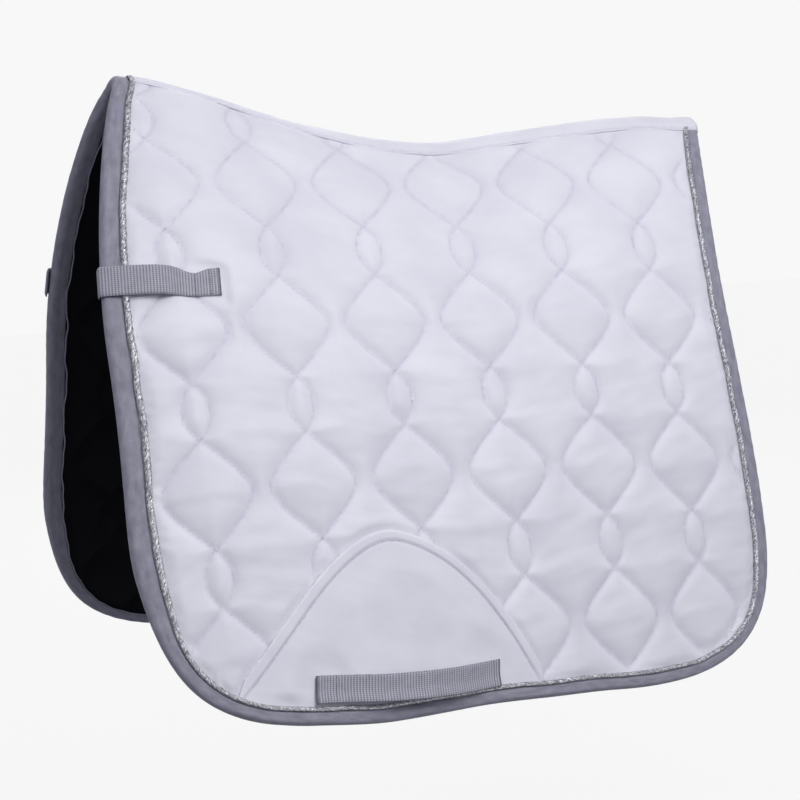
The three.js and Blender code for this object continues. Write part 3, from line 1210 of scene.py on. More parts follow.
@dataclass
class QuiltedFlap:
    """One flap's outer cloth, lining and quilting stitches, with the wadding shut between them."""

    room: Workroom
    rows: int = 206
    columns: int = 236
    edge_inset: float = 3.0
    top: float = 20.0
    valley: float = -3.5
    crown: float = 1.9
    puff_reach: float = 5.2
    edge_lift: float = -0.6
    lining_middle: float = -7.9
    lining_puff: float = 2.6
    cloth_thickness: float = 0.9
    seam_share: float = 0.7
    seam_half: float = 1.7
    stitch_gap: float = 3.6
    clear_of_trim: float = 21.0
    strap_middle: tuple[float, float] = (254.0, 217.0)
    strap_half: tuple[float, float] = (15.0, 14.0)
    strap_blend: float = 9.0

    def free(self, x: Array, d: Array) -> Array:
        """How free the cloth is to puff: 0 where it is held by a binding or tape, and 1 away from them."""
        edge = smooth(OUTLINE.depth(x, d), 17.0, 28.0)
        held = TAPE.half_at(x)
        return edge * smooth(d, held - 3.0, held + 6.0)

    def lift(self, x: Array, d: Array) -> Array:
        """Lift of the outer cloth over the pad's even face.

        Args:
            x: Places along the back.
            d: Places down the cloth.

        Returns:
            The lift at each place.
        """
        away = QUILTING.distance(x, d)
        puff = 0.72 * (1 - np.exp(-away / self.puff_reach)) + 0.28 * smooth(away, 0.0, 30.0)
        creases = 0.22 * ripple(x * 0.5, d * 1.5, 24.0, 5) * smooth(away, 2.0, 12.0)
        pucker = 0.32 * np.sin(QUILTING.down(x, d) / 1.05 + 2.2 * ripple(x, d, 60.0, 8))
        puckers = pucker * np.exp(-away / 4.5) * smooth(away, 0, 2)
        quilt = self.valley + (self.crown - self.valley) * puff + creases + puckers
        free = self.free(x, d)
        edge = OUTLINE.depth(x, d)
        low = smooth(d, 430.0, 540.0)
        phase = (d * (1 - low) + x * low) / 1.25 + 2.6 * ripple(x, d, 46.0, 14)
        gathers = 0.4 * np.sin(phase) * np.exp(-(((edge - 20.0) / 7.0) ** 2))
        gathers = gathers + 0.3 * ripple(x, d, 15.0, 12) * free * (1 - free) * 4
        lift = self.edge_lift + (quilt - self.edge_lift) * free + gathers
        pressed = np.maximum(smooth(PATCH.under(x, d), -9.0, 3.0), self.under_strap(x, d))
        return lift + (np.minimum(lift, -1.6) - lift) * pressed

    def under_strap(self, x: Array, d: Array) -> Array:
        """How far the cloth is pressed down where the billet strap is sewn on, from 0 to 1."""
        past_x = np.maximum(np.abs(x - self.strap_middle[0]) - self.strap_half[0], 0.0)
        past_d = np.maximum(np.abs(d - self.strap_middle[1]) - self.strap_half[1], 0.0)
        return smooth(np.hypot(past_x, past_d), self.strap_blend, 0.0)

    def cut_outer(self) -> Cut:
        """The outer cloth, puffed between its lines of stitching.

        Returns:
            The flat cut.
        """
        grid = OUTLINE.grid(self.rows, self.columns, self.edge_inset, self.top)
        x, d = grid[..., 0], grid[..., 1]
        narrowed = (TAPE.half_at(-300.0) - TAPE.half_at(x)) * smooth(x, 299.0, 284.0)
        d = d - narrowed * smooth(d, 110.0, self.top)
        lift = self.lift(x, d)
        # Painted shade along the quilting lines, where the cloth dips into its grooves.
        seam = np.exp(-((QUILTING.distance(x, d) / self.seam_half) ** 2)) * self.seam_share * self.free(x, d)
        outer = np.dstack([x, d, lift])
        inner = np.dstack([x, d, lift - self.cloth_thickness])
        return shell(outer, inner, printed=outer, seam=seam)

    def cut_lining(self) -> Cut:
        """The lining, drawn in along the same lines.

        Returns:
            The flat cut.
        """
        grid = OUTLINE.grid(self.rows // 2, self.columns // 2, self.edge_inset, self.top)
        x, d = grid[..., 0], grid[..., 1]
        puff = 1 - np.exp(-((QUILTING.distance(x, d) / self.puff_reach) ** 1.25))
        lift = self.lining_middle + self.lining_puff * (0.5 - puff) * 2 * self.free(x, d)
        outer = np.dstack([x, d, lift + self.cloth_thickness])
        inner = np.dstack([x, d, lift])
        return shell(outer, inner, printed=outer)

    def cut_quilting(self) -> Cut:
        """The quilting's stitches on the outer face, sunk in the valleys.

        Returns:
            The flat cut.
        """
        middles, ways = [], []
        for line in QUILTING.lines():
            places, way = along(line, self.stitch_gap)
            x, d = places.T
            low, high = OUTLINE.line[:, 0].min(), OUTLINE.line[:, 0].max()
            inside = (x > low) & (x < high) & (d > TAPE.half_at(x) + 1) & (d < 575)
            places, way = places[inside], way[inside]
            x, d = places.T
            kept = (OUTLINE.depth(x, d) > self.clear_of_trim) & self.on_flap(x, d) & (PATCH.under(x, d) < -3)
            middles.append(places[kept])
            ways.append(way[kept])
        places = np.concatenate(middles)
        lift = self.lift(places[:, 0], places[:, 1]) + 0.12
        points = np.column_stack([places, lift])
        return stitches(points, np.concatenate(ways), FINE_STITCH)

    def on_flap(self, x: Array, d: Array) -> Array:
        """Whether flat points lie inside the flap's edge.

        Args:
            x: Places along the back.
            d: Places down the cloth.

        Returns:
            A truth value for each.
        """
        edge = OUTLINE.line[::4]
        after = np.roll(edge, -1, axis=0)
        inside = np.zeros(len(x), bool)
        for (x0, d0), (x1, d1) in zip(edge, after):
            spans = (d0 > d) != (d1 > d)
            crossing = x0 + (d - d0) * (x1 - x0) / ((d1 - d0) or 1e-9)
            inside ^= spans & (x < crossing)
        return inside

    def build(self) -> None:
        """Makes the outer cloth, the lining and the stitches of both flaps."""
        cloth, lining, quilting = self.cut_outer(), self.cut_lining(), self.cut_quilting()
        for side in Side:
            name = side.value
            outer = self.room.sew(f"{name}_quilted_satin", cloth, SATIN, side)
            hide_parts(f"{name}_outer_panel", f"{name}_padding")
            inner = self.room.sew(f"{name}_quilted_lining", lining, LINING, side)
            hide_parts(f"{name}_lining")
            thread = self.room.sew(f"{name}_quilting_stitches", quilting, WHITE_THREAD, side)
            for piece in (outer, inner, thread):
                self.room.fold(piece, side)


# ------------------------------------------------------------------------------------------ edge trims


@dataclass
class EdgeTrim:
    """What binding and cord share: a stretch over the spine at the front, and one round each flap."""

    room: Workroom
    spine_half: float = 20.0
    rear_top: float = 25.0

    def over_spine(self, rings: int) -> Array:
        """Distances along the edge for the stretch over the spine, negative on the right side."""
        start = OUTLINE.reach_at(self.spine_half, True)
        return np.linspace(-start, start, rings)

    def round_flap(self, spacing: float) -> Array:
        """Distances along the edge for the stretch round a flap."""
        start = OUTLINE.reach_at(self.spine_half, True)
        stop = OUTLINE.reach_at(self.rear_top, False)
        return np.linspace(start, stop, int((stop - start) / spacing))

    def laid(self, length: Array, inset: Array, lift: Array, printed: Array) -> Cut:
        """A closed strip along the edge.

        Args:
            length: Each point's distance along the edge, negative on the right side.
            inset: Its distance in from the edge.
            lift: Its lift.
            printed: Its place in the strip's own pattern.

        Returns:
            The flat cut.
        """
        point = OUTLINE.at(np.abs(length), inset)
        d = point[..., 1] * np.sign(length + 1e-9)
        return sweep(np.dstack([point[..., 0], d, lift])[:, ::-1], printed[:, ::-1])


@dataclass
class EdgeBinding(EdgeTrim):
    """The grey tape folded over the pad's edge, one length from the ridge round both flaps."""

    wide: float = 14.0
    tape: float = 1.0
    outer_lift: float = 1.5
    inner_lift: float = -10.4
    nose: float = 5.2
    sag: float = 0.9
    selvedge: float = 0.6
    selvedge_wave: float = 0.9
    spacing: float = 2.6

    def profile(self) -> Array:
        """The folded tape's section, as a ring of points (inset, lift).

        Returns:
            An array of shape (points, 2).
        """
        middle = (self.outer_lift + self.inner_lift) / 2
        half = (self.outer_lift - self.inner_lift) / 2
        angle = np.linspace(0, math.pi, 13)
        nose = self.nose
        leg = np.linspace(self.wide, nose, 7)[:-1]
        sag = self.sag * ((leg - nose) / (self.wide - nose)) ** 4
        outer = [
            np.stack([leg, self.outer_lift - sag], -1),
            np.stack([nose * (1 - np.sin(angle)), middle + half * np.cos(angle)], -1),
            np.stack([leg[::-1], self.inner_lift + sag[::-1]], -1),
        ]
        skin = np.concatenate(outer)
        way = np.gradient(skin, axis=0)
        way /= np.linalg.norm(way, axis=1, keepdims=True)
        inside = skin + np.stack([-way[:, 1], way[:, 0]], -1) * self.tape
        return np.concatenate([skin, inside[::-1]])

    def cut(self, reach: Array) -> Cut:
        """The binding along a stretch of the edge.

        Args:
            reach: Distances along the edge, one for each ring.

        Returns:
            The flat cut.
        """
        ring = self.profile()
        inset = np.broadcast_to(ring[:, 0], (len(reach), len(ring)))
        lift = np.broadcast_to(ring[:, 1], inset.shape).copy()
        length = np.broadcast_to(reach[:, None], inset.shape)
        puff = smooth(inset, self.wide, 8.0) * np.where(lift > -4.5, 1.0, -1.0)
        lift += 0.22 * ripple(length, inset * 2.0, 13.0, 3) * puff
        around = np.broadcast_to(Path(ring).reach, inset.shape)
        return self.laid(length, inset, lift, np.dstack([length, around, np.zeros(inset.shape)]))

    def cut_selvedge(self, reach: Array) -> Cut:
        """The pale woven edge of the tape's inner leg, which waves a little.

        Args:
            reach: Distances along the edge, one for each ring.

        Returns:
            The flat cut.
        """
        corners = 6
        angle = np.linspace(0, math.tau, corners, endpoint=False)[None, :]
        length = np.broadcast_to(reach[:, None], (len(reach), corners))
        wave = self.selvedge_wave * ripple(length, length * 0, 34.0, 17)
        inset = self.wide + 0.2 + wave + self.selvedge * np.cos(angle)
        lift = self.inner_lift + 0.3 + self.selvedge * np.sin(angle) + 0 * length
        return self.laid(length, inset, lift, np.dstack([length, inset, lift]))

    def build(self) -> None:
        """Makes the stretch over the spine and one down each flap."""
        over = self.room.sew("spine_binding", self.cut(self.over_spine(25)), BINDING)
        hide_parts("spine_edge_binding")
        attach(over, "spine")
        reach = self.round_flap(self.spacing)
        for side in Side:
            strip = self.room.sew(f"{side.value}_binding", self.cut(reach), BINDING, side)
            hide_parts(f"{side.value}_edge_binding")
            self.room.fold(strip, side)
            pale = self.cut_selvedge(reach)
            selvedge = self.room.sew(f"{side.value}_binding_selvedge", pale, SELVEDGE, side)
            self.room.fold(selvedge, side)


@dataclass
class PipingCord(EdgeTrim):
    """The twisted silver cord laid beside the binding."""

    radius: float = 2.5
    inset: float = 16.7
    lift: float = 1.4
    plies: int = 3
    twist: float = 6.5
    sides: int = 14
    wander: float = 0.35
    spacing: float = 1.3

    def cut(self, reach: Array) -> Cut:
        """The cord along a stretch of the edge.

        Args:
            reach: Distances along the edge, one for each ring.

        Returns:
            The flat cut.
        """
        angle = np.linspace(0, math.tau, self.sides, endpoint=False)[None, :]
        length = reach[:, None]
        turned = angle - length * math.tau / self.twist / self.plies
        ply = 0.16 * np.abs(np.cos(turned * self.plies / 2))
        size = self.radius * (0.84 + ply + 0.03 * ripple(length, angle, 5.0, 2))
        wander = self.wander * ripple(length, length * 0, 60.0, 4)
        inset = self.inset + wander + size * np.cos(angle)
        lift = self.lift + size * np.sin(angle)
        length = np.broadcast_to(length, inset.shape)
        printed = np.dstack([length + turned * 1.2, turned * self.radius, np.zeros(inset.shape)])
        return self.laid(length, inset, lift, printed)

    def build(self) -> None:
        """Makes the stretch over the spine and one down each flap."""
        over = self.room.sew("spine_cord", self.cut(self.over_spine(33)), CORD)
        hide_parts("spine_piping_cord")
        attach(over, "spine")
        reach = self.round_flap(self.spacing)
        for side in Side:
            length = self.room.sew(f"{side.value}_cord", self.cut(reach), CORD, side)
            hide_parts(f"{side.value}_piping_cord")
            self.room.fold(length, side)


# ------------------------------------------------------------------------------------------ the spine


@dataclass
class SpineTapes:
    """The white tape over the spine, turned down over its rear end, and the dark tape under it."""

    room: Workroom
    front_inset: float = 19.0
    lift: float = 0.9
    puff: float = 1.6
    seam_in: float = 3.0
    seam_depth: float = 0.9
    seam_half: float = 1.3
    rear_rise: float = 1.4
    rear_roll: float = 5.0
    dark_lift: float = -9.6
    tape_thickness: float = 0.8
    stitch_gap: float = 3.6
    rows: int = 44
    columns: int = 280

    def raised(self, x: Array) -> Array:
        """How much higher the white tape lies where its rear end is folded over."""
        return self.rear_rise * smooth(x, -262.0, -276.0)

    def cut_tape(self) -> Cut:
        """The white tape, plump between its two seams.

        Returns:
            The flat cut.
        """
        s = np.linspace(0, 1, self.columns)[None, :]
        across = np.linspace(-1, 1, self.rows)[:, None]
        d = across * TAPE.half
        rear = OUTLINE.end_x(d, False)
        front = OUTLINE.end_x(d, True) - self.front_inset
        x = rear + (front - rear) * s
        half = TAPE.half_at(x)
        d = d * half / TAPE.half
        to_seam = np.abs(np.abs(d) - (half - self.seam_in))
        groove = np.exp(-((to_seam / self.seam_half) ** 2))
        inside = smooth(np.abs(d), half - self.seam_in, 4.0)
        lift = self.lift + self.puff * inside - self.seam_depth * groove
        lift = lift + 0.22 * ripple(x * 0.5, d * 2.5, 30.0, 21) * inside
        lift = lift + self.raised(x)
        turned = smooth(x - rear, self.rear_roll, 0.0)
        lift = lift - 3.2 * turned**2
        under = np.minimum(lift - self.tape_thickness, -0.75) - 8.0 * turned
        outer = np.dstack([x, d, lift])
        inner = np.dstack([x, d, under])
        # The tape's two stitched grooves also get painted shade.
        return shell(outer, inner, printed=outer, seam=groove * 0.6)

    def cut_lining_tape(self) -> Cut:
        """The dark tape on the underside.

        Returns:
            The flat cut.
        """
        s = np.linspace(0, 1, self.columns // 4)[None, :]
        d = np.linspace(-1, 1, self.rows // 2)[:, None] * TAPE.half
        rear = OUTLINE.end_x(d, False) + 3.0
        front = OUTLINE.end_x(d, True) - 3.0
        x = rear + (front - rear) * s
        lift = self.dark_lift + 0.15 * ripple(x * 0.5, d * 2, 25.0, 31)
        d = np.broadcast_to(d, x.shape)
        return shell(np.dstack([x, d, lift + self.tape_thickness]), np.dstack([x, d, lift]))

    def cut_stitches(self) -> Cut:
        """The stitches along both seams of the white tape.

        Returns:
            The flat cut.
        """
        rear, front = OUTLINE.rear_ridge_x + 12, OUTLINE.front_ridge_x - self.front_inset
        x = np.arange(rear, front, self.stitch_gap)
        points, ways = [], []
        for sign in (-1, 1):
            d = sign * (TAPE.half_at(x) - self.seam_in)
            lift = self.lift - self.seam_depth + 0.12 + self.raised(x)
            points.append(np.column_stack([x, d, lift]))
            ways.append(np.column_stack([np.ones_like(x), np.zeros_like(x)]))
        return stitches(np.concatenate(points), np.concatenate(ways), FINE_STITCH)

    def build(self) -> None:
        """Makes both tapes and the stitches, which all ride on the spine."""
        tape = self.room.sew("spine_white_tape", self.cut_tape(), SATIN)
        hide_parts("spine_tape", "spine_padding")
        dark = self.room.sew("spine_dark_tape", self.cut_lining_tape(), LINING)
        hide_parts("spine_lining_tape")
        thread = self.room.sew("spine_tape_stitches", self.cut_stitches(), WHITE_THREAD)
        for piece in (tape, dark, thread):
            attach(piece, "spine")


# ------------------------------------------------------------------------------------------ patch and webbing


@dataclass
class GirthPatch:
    """The smooth arched patch that the girth rubs on, with a turned hem."""

    room: Workroom
    side: Side
    rows: int = 90
    columns: int = 190
    hem: float = 8.5
    hem_rise: float = 0.75
    hem_depth: float = 0.45
    stitch_gap: float = 3.4
    base: float = 0.9
    plump: float = 1.5
    thickness: float = 0.8
    edge_inset: float = 18.6

    def cut(self) -> Cut:
        """The patch, hemmed along its arch and sewn in with the cord along the bottom.

        Returns:
            The flat cut.
        """
        arch = PATCH.arch
        s = np.linspace(0, 1, self.columns)
        pick = np.linspace(0, len(arch) - 1, self.columns)
        top = np.stack([np.interp(pick, np.arange(len(arch)), arch[:, k]) for k in (0, 1)], -1)
        feet = [self.reach_nearest(arch[k]) for k in (0, -1)]
        bottom = OUTLINE.at(feet[0] + (feet[1] - feet[0]) * s, np.full(self.columns, self.edge_inset))
        t = (np.linspace(0, 1, self.rows) ** 1.25)[:, None, None]
        grid = top[None] * (1 - t) + bottom[None] * t
        x, d = grid[..., 0], grid[..., 1]
        from_arch = self.gap(x, d)
        groove = np.exp(-(((from_arch - self.hem) / 1.5) ** 2))
        rolled = self.hem_rise * smooth(from_arch, 0.2, 1.8) * smooth(from_arch, self.hem, self.hem - 1.6)
        inside = smooth(from_arch, self.hem, 34.0) * smooth(OUTLINE.depth(x, d), self.edge_inset, 34.0)
        held = np.minimum(
            np.hypot(x - PATCH.loop_rear[0] - 6, d - PATCH.loop_rear[1]),
            np.hypot(x - PATCH.loop_front[0] + 9, d - PATCH.loop_front[1]),
        )
        inside = inside * smooth(held, 12.0, 34.0)
        folds = 0.5 * ripple(x * 1.2, d * 0.25, 58.0, 41) + 0.25 * ripple(x, d * 0.3, 34.0, 43)
        lift = self.base + rolled - self.hem_depth * groove + self.plump * inside + folds * inside
        lift = lift - 0.7 * smooth(from_arch, 1.6, 0.0)
        outer = np.dstack([x, d, lift])
        inner = np.dstack([x, d, np.minimum(lift - self.thickness, -1.3)])
        outer, inner, groove = outer[:, ::-1], inner[:, ::-1], groove[:, ::-1]
        # The groove inside the hem also gets painted shade.
        return shell(outer, inner, printed=outer, seam=0.5 * groove)

    def gap(self, x: Array, d: Array) -> Array:
        """Distance from flat points to the arch."""
        gap = np.full(x.shape, np.inf)
        run = np.arange(1, 30)[:, None] * 1.6
        first, last = PATCH.arch[0] - PATCH.arch[1], PATCH.arch[-1] - PATCH.arch[-2]
        ends = ((PATCH.arch[0], first), (PATCH.arch[-1], last))
        feet = [end + run * way / np.hypot(*way) for end, way in ends]
        for px, pd in np.concatenate([PATCH.arch[::2], *feet]):
            gap = np.minimum(gap, np.hypot(x - px, d - pd))
        return gap

    def reach_nearest(self, point: Array) -> float:
        """How far along the edge it comes nearest to a flat point."""
        return float(OUTLINE.reach[np.argmin(np.hypot(*(OUTLINE.line - point).T))])

    def cut_stitches(self) -> Cut:
        """The stitches along the hem.

        Returns:
            The flat cut.
        """
        places, ways = along(PATCH.arch, self.stitch_gap)
        inward = np.stack([-ways[:, 1], ways[:, 0]], -1)
        places = places + inward * self.hem
        keep = OUTLINE.depth(*places.T) > self.edge_inset + 2
        lift = np.full(keep.sum(), self.base - self.hem_depth + 0.2)
        return stitches(np.column_stack([places[keep], lift]), ways[keep], FINE_STITCH)

    def build(self) -> None:
        """Makes the patch and its stitches."""
        name = self.side.value
        patch = self.room.sew(f"{name}_satin_girth_patch", self.cut(), SATIN, self.side)
        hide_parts(f"{name}_girth_patch")
        thread = self.room.sew(f"{name}_girth_patch_stitches", self.cut_stitches(), WHITE_THREAD, self.side)
        for piece in (patch, thread):
            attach(piece, f"{name}_flap")


@dataclass
class Strap:
    """A length of ribbed webbing along a route."""

    wide: float = 25.0
    thick: float = 1.4
    rib: float = 2.5
    rib_depth: float = 0.16
    fray: float = 0.12
    step: float = 0.62
    side_points: int = 15

    def section(self) -> Array:
        """The strap's section, flat with round edges, as points (across, through)."""
        upper = np.linspace(-0.5, 0.5, self.side_points)
        across = np.concatenate([upper, np.linspace(0.5, -0.5, self.side_points)])
        round_edge = np.sqrt(np.clip(1 - np.abs(across * 2) ** 14, 0.0, 1))
        through = np.repeat((0.5, -0.5), self.side_points) * (0.25 + 0.75 * round_edge)
        return np.stack([across, through], -1)

    def cut(self, points: Array, place: Place, edge_rise: float = 0.0) -> Cut:
        """The strap laid along its route.

        Args:
            points: Close points (along, lift) on the middle of its thickness.
            place: Gives flat points (x, d) from distances along the pad and across the strap.
            edge_rise: How much higher its lower edge lies, over a cord.

        Returns:
            The flat cut.
        """
        route = Path(points)
        length = float(route.reach[-1])
        reach = np.linspace(0, length, int(length / self.step))
        middle, way = route.at(reach), route.way(reach, 1.0)
        section = self.section()
        ribs = 1 + self.rib_depth * 2 / self.thick * np.cos(math.tau * reach / self.rib)
        ends = np.minimum(smooth(reach, -0.6, 1.2), smooth(reach, length + 0.6, length - 1.2))
        through = section[None, :, 1] * self.thick * (ribs * ends)[:, None]
        frayed = self.fray * ripple(reach, reach * 0, 4.0, 6)[:, None] * np.sign(section[None, :, 0])
        across = section[None, :, 0] * self.wide + frayed
        along_pad = middle[:, 0:1] - way[:, 1:2] * through
        lift = middle[:, 1:2] + way[:, 0:1] * through
        lift = lift + edge_rise * smooth(across, 0.0, self.wide / 2)
        flat = place(along_pad + 0 * across, across)
        printed = np.dstack([reach[:, None] + 0 * across, across, through])
        cut = sweep(np.dstack([flat[..., 0], flat[..., 1], lift]), printed)
        to_end = np.minimum(reach, length - reach)
        cut.seam = np.broadcast_to(smooth(to_end, 2.4, 1.0)[:, None], across.shape).copy()
        return cut


@dataclass
class GirthLoop:
    """The webbing loop on the patch that the girth is passed under, sewn down at both ends."""

    room: Workroom
    side: Side
    strap: Strap = field(default_factory=lambda: Strap(wide=23.6))
    base: float = 1.85
    bow: float = 12.0
    lower: float = 8.0
    slant: float = 0.15
    edge_rise: float = 2.6
    rear_sewn: float = 8.0
    front_sewn: float = 20.0

    @property
    def ends(self) -> tuple[Array, Array]:
        """Its rear and front ends laid flat."""
        return np.array(PATCH.loop_rear), np.array(PATCH.loop_front)

    def place(self, reach: Array, across: Array) -> Array:
        """Flat points on the loop, along it from its rear end and across it."""
        rear, front = self.ends
        way = (front - rear) / np.linalg.norm(front - rear)
        d = rear[1] + way[1] * reach + way[0] * across + self.lower
        return np.dstack([rear[0] + way[0] * reach + self.slant * across, d])

    def build(self) -> None:
        """Makes the loop and its two rows of stitches."""
        name = self.side.value
        rear, front = self.ends
        length = float(np.linalg.norm(front - rear))
        s = np.linspace(0, length, 400)
        share = np.clip((s - self.rear_sewn) / (length - self.front_sewn - self.rear_sewn), 0, 1)
        lift = self.base + self.strap.thick / 2 + self.bow * np.sin(math.pi * share) ** 1.2
        cut = self.strap.cut(np.stack([s, lift], -1), self.place, self.edge_rise)
        loop = self.room.sew(f"{name}_webbing_girth_loop", cut, WEBBING, self.side)
        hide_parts(f"{name}_girth_loop")
        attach(loop, f"{name}_flap")
        top = self.base + self.strap.thick + 0.1
        for where, at in (("front", length - self.front_sewn + 2), ("rear", self.rear_sewn - 2)):
            row = cross_stitches(self.place, at, top, self.edge_rise)
            thread = self.room.sew(f"{name}_loop_stitches_{where}", row, THREAD, self.side)
            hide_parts(f"{name}_girth_loop_stitch_row_{where}")
            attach(thread, f"{name}_flap")


def cross_stitches(place: Place, reach: float, lift: float, edge_rise: float = 0.0) -> Cut:
    """A row of stitches across a strap.

    Args:
        place: Gives flat points from distances along and across the strap.
        reach: How far along the strap the row is.
        lift: The lift of the strap's upper face.
        edge_rise: How much higher the strap's lower edge lies.

    Returns:
        The flat cut.
    """
    across = np.linspace(-10.6, 10.6, 9)
    lifts = lift + edge_rise * smooth(across, 0.0, 12.5)
    middle = place(np.full(across.shape, reach)[None], across[None])[0]
    beside = place(np.full(across.shape, reach)[None], across[None] + 1)[0]
    return stitches(np.column_stack([middle, lifts]), beside - middle, HEAVY_STITCH)


@dataclass
class BilletStrap:
    """The strap over the saddle's front billet, from the front edge over a bow to its sewn end."""

    room: Workroom
    side: Side
    strap: Strap = field(default_factory=Strap)
    front_x: float = 339.6
    d: float = 206.0
    slope: float = 0.17
    sag: float = 4.5
    edge_slope: float = 0.09
    over: float = 2.1
    tucked: float = -4.5
    crown: float = 5.8
    sewn: float = -0.15
    round_edge: float = 4.0
    sewn_from: float = 75.0
    end: float = 99.0
    front: float = -0.9
    pinch_at: float = 76.0
    pinch_share: float = 0.17
    rows: tuple[float, float] = (77.0, 90.0)

    def place(self, inset: Array, across: Array) -> Array:
        """Flat points on the strap, at an inset from the front edge and across it."""
        sag = self.sag * np.sin(math.pi * np.clip(inset / self.pinch_at, 0, 1))
        middle = self.d + sag + self.slope * np.clip(inset, 0, 72.0) - 0.2 * np.maximum(inset - 78.0, 0)
        pinch = 1 - self.pinch_share * np.exp(-(((inset - self.pinch_at) / 10.0) ** 2))
        d = middle + self.strap.wide / 2 * (1 - pinch) - across * pinch
        return np.dstack([self.front_x - inset - self.edge_slope * across, d])

    def points(self) -> Array:
        """The route's points (inset, lift), from the front edge to the sewn end."""
        front, r = self.front, self.round_edge
        climb = np.linspace(self.tucked, self.over - r, 8, endpoint=False)
        nose = np.stack([np.full(8, front), climb], -1)
        over = self.over
        upper = cubic(((front, over - r), (front, over), (2, over + 0.6), (r, over + 1)), 14)
        rise = cubic(((r, self.over + 1), (18, self.crown), (30, self.crown), (42, self.crown)), 40)
        down = cubic(((42, self.crown), (56, self.crown), (60, self.sewn), (self.sewn_from, self.sewn)), 40)
        tail = np.stack([np.linspace(self.sewn_from, self.end, 20), np.full(20, self.sewn)], -1)
        return np.concatenate([nose, upper, rise, down, tail])

    def build(self) -> None:
        """Makes the strap and its two rows of stitches."""
        name = self.side.value
        cut = self.strap.cut(self.points(), self.place)
        strap = self.room.sew(f"{name}_webbing_billet_strap", cut, WEBBING, self.side)
        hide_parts(f"{name}_billet_strap")
        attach(strap, f"{name}_flap")
        top = self.sewn + self.strap.thick / 2 + 0.1
        for number, inset in enumerate(self.rows, 1):
            row = cross_stitches(self.place, inset, top)
            thread = self.room.sew(f"{name}_billet_stitches_{number}", row, THREAD, self.side)
            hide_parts(f"{name}_billet_stitch_row_{number}")
            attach(thread, f"{name}_flap")


# ------------------------------------------------------------------------------------------ the studio


@dataclass(frozen=True)
class SoftLamp:
    """A square soft lamp: its name, where it hangs, its side in metres and its power in watts."""

    name: str
    place: tuple[float, float, float]
    size: float
    power: float
    aim: tuple[float, float, float] = (0.0, 0.1, -0.2)

    def hang(self) -> None:
        """Hangs the lamp so that it faces the pad."""
        light = bpy.data.lights.new(self.name, "AREA")
        light.size = self.size
        light.energy = self.power
        lamp = bpy.data.objects.new(self.name, light)
        away = np.array(self.place) - np.array(self.aim)
        away /= np.linalg.norm(away)
        right = np.cross((0.0, 0.0, 1.0), away)
        right /= np.linalg.norm(right)
        turn = Matrix(np.stack([right, np.cross(away, right), away], -1).tolist())
        lamp.matrix_world = Matrix.Translation(self.place) @ turn.to_4x4()
        bpy.context.scene.collection.objects.link(lamp)


LAMPS = (
    SoftLamp("key_lamp", (-0.15, 1.35, 0.72), 0.8, 13.5),
    SoftLamp("front_lamp", (1.8, 0.9, 0.9), 1.2, 2.6),
    SoftLamp("fill_lamp", (-2.2, 1.5, 0.2), 1.8, 6.0),
    SoftLamp("back_lamp", (-0.6, -2.4, 1.2), 2.0, 24.0),
)


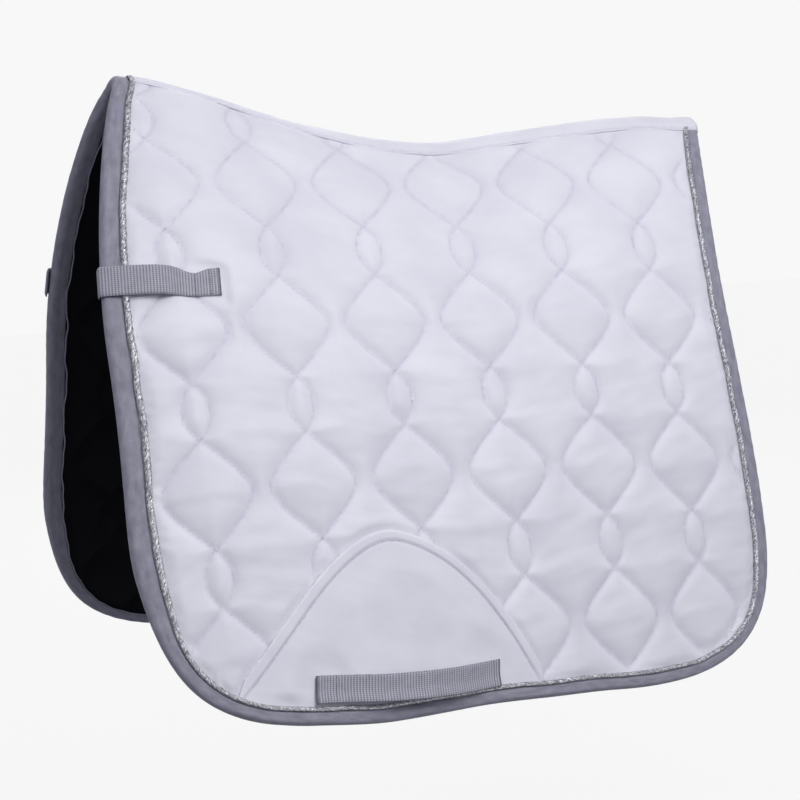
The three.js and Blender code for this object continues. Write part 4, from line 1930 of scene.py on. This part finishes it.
@dataclass(frozen=True)
class Studio:
    """A white floor, a white room and soft lamps round the pad, with the camera at its left front."""

    floor_below: float = 0.18
    floor_half: float = 12.0
    camera_place: tuple[float, float, float] = (0.6504, 1.5357, -0.0733)
    camera_right: tuple[float, float, float] = (-0.92574, 0.37388, -0.05670)
    camera_up: tuple[float, float, float] = (-0.08703, -0.06474, 0.99410)
    camera_ahead: tuple[float, float, float] = (-0.36800, -0.92522, -0.09247)
    lens: float = 79.75
    sensor: float = 36.0
    backdrop: str = "F8F8F8"
    room_strength: float = 0.52
    high_room: str = "F2F2FC"
    low_room: str = "66667E"

    def build(self, lowest: float) -> None:
        """Sets the floor, the world, the lamps and the camera.

        Args:
            lowest: Height of the object's lowest point.
        """
        self.floor(lowest - self.floor_below)
        self.world()
        for lamp in LAMPS:
            lamp.hang()
        self.camera()

    def floor(self, height: float) -> None:
        """Lays the lit floor."""
        signs = ((-1, -1), (1, -1), (1, 1), (-1, 1))
        corners = [(x * self.floor_half, y * self.floor_half, height) for x, y in signs]
        mesh = bpy.data.meshes.new("studio_floor")
        mesh.from_pydata(corners, [], [(0, 1, 2, 3)])
        mesh.materials.append(TABLE_TOP.material())
        floor = bpy.data.objects.new("studio_floor", mesh)
        floor.visible_diffuse = False
        bpy.context.scene.collection.objects.link(floor)
        floor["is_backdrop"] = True

    def world(self) -> None:
        """Lights the room softly, more from above, and shows it as one white to the camera."""
        world = bpy.data.worlds.new("studio_room")
        bpy.context.scene.world = world
        world.use_nodes = True
        tree = world.node_tree
        glow = tree.nodes["Background"]
        glow.inputs["Strength"].default_value = self.room_strength
        way = add_node(tree, "ShaderNodeTexCoord").outputs["Generated"]
        up = add_node(tree, "ShaderNodeSeparateXYZ", links={0: way}).outputs["Z"]
        span = {"From Min": -0.8, "From Max": 0.8}
        height = add_node(tree, "ShaderNodeMapRange", None, span, {"Value": up})
        tone = colour_ramp(tree, height.outputs["Result"], ((0.2, self.low_room), (0.9, self.high_room)))
        tree.links.new(tone, glow.inputs["Color"])
        seen = add_node(tree, "ShaderNodeBackground", None, {"Color": linear(self.backdrop), "Strength": 1.0})
        ray = add_node(tree, "ShaderNodeLightPath")
        links = {0: ray.outputs["Is Camera Ray"], 1: glow.outputs[0], 2: seen.outputs[0]}
        both = add_node(tree, "ShaderNodeMixShader", links=links)
        tree.links.new(both.outputs[0], tree.nodes["World Output"].inputs["Surface"])

    def camera(self) -> None:
        """Sets the camera and a plain tone curve."""
        data = bpy.data.cameras.new("camera")
        data.lens = self.lens
        data.sensor_width = self.sensor
        camera = bpy.data.objects.new("camera", data)
        back = tuple(-value for value in self.camera_ahead)
        turn = Matrix([list(row) for row in zip(self.camera_right, self.camera_up, back)])
        camera.matrix_world = Matrix.Translation(self.camera_place) @ turn.to_4x4()
        bpy.context.scene.collection.objects.link(camera)
        bpy.context.scene.camera = camera
        bpy.context.scene.view_settings.view_transform = "Standard"


# ------------------------------------------------------------------------------------------ the pad


def main() -> None:
    """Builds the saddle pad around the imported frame."""
    logging.basicConfig(level=logging.INFO, format="%(name)s: %(message)s")
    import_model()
    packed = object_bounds()
    LOG.info("frame box %s", packed)
    room = Workroom(DRAPE)
    SpineTapes(room).build()
    EdgeBinding(room).build()
    PipingCord(room).build()
    QuiltedFlap(room).build()
    for side in Side:
        GirthPatch(room, side).build()
        GirthLoop(room, side).build()
        BilletStrap(room, side).build()
    Studio().build(packed[0].z)
    LOG.info("made %d pieces", len(room.made))


if __name__ == "__main__":
    main()
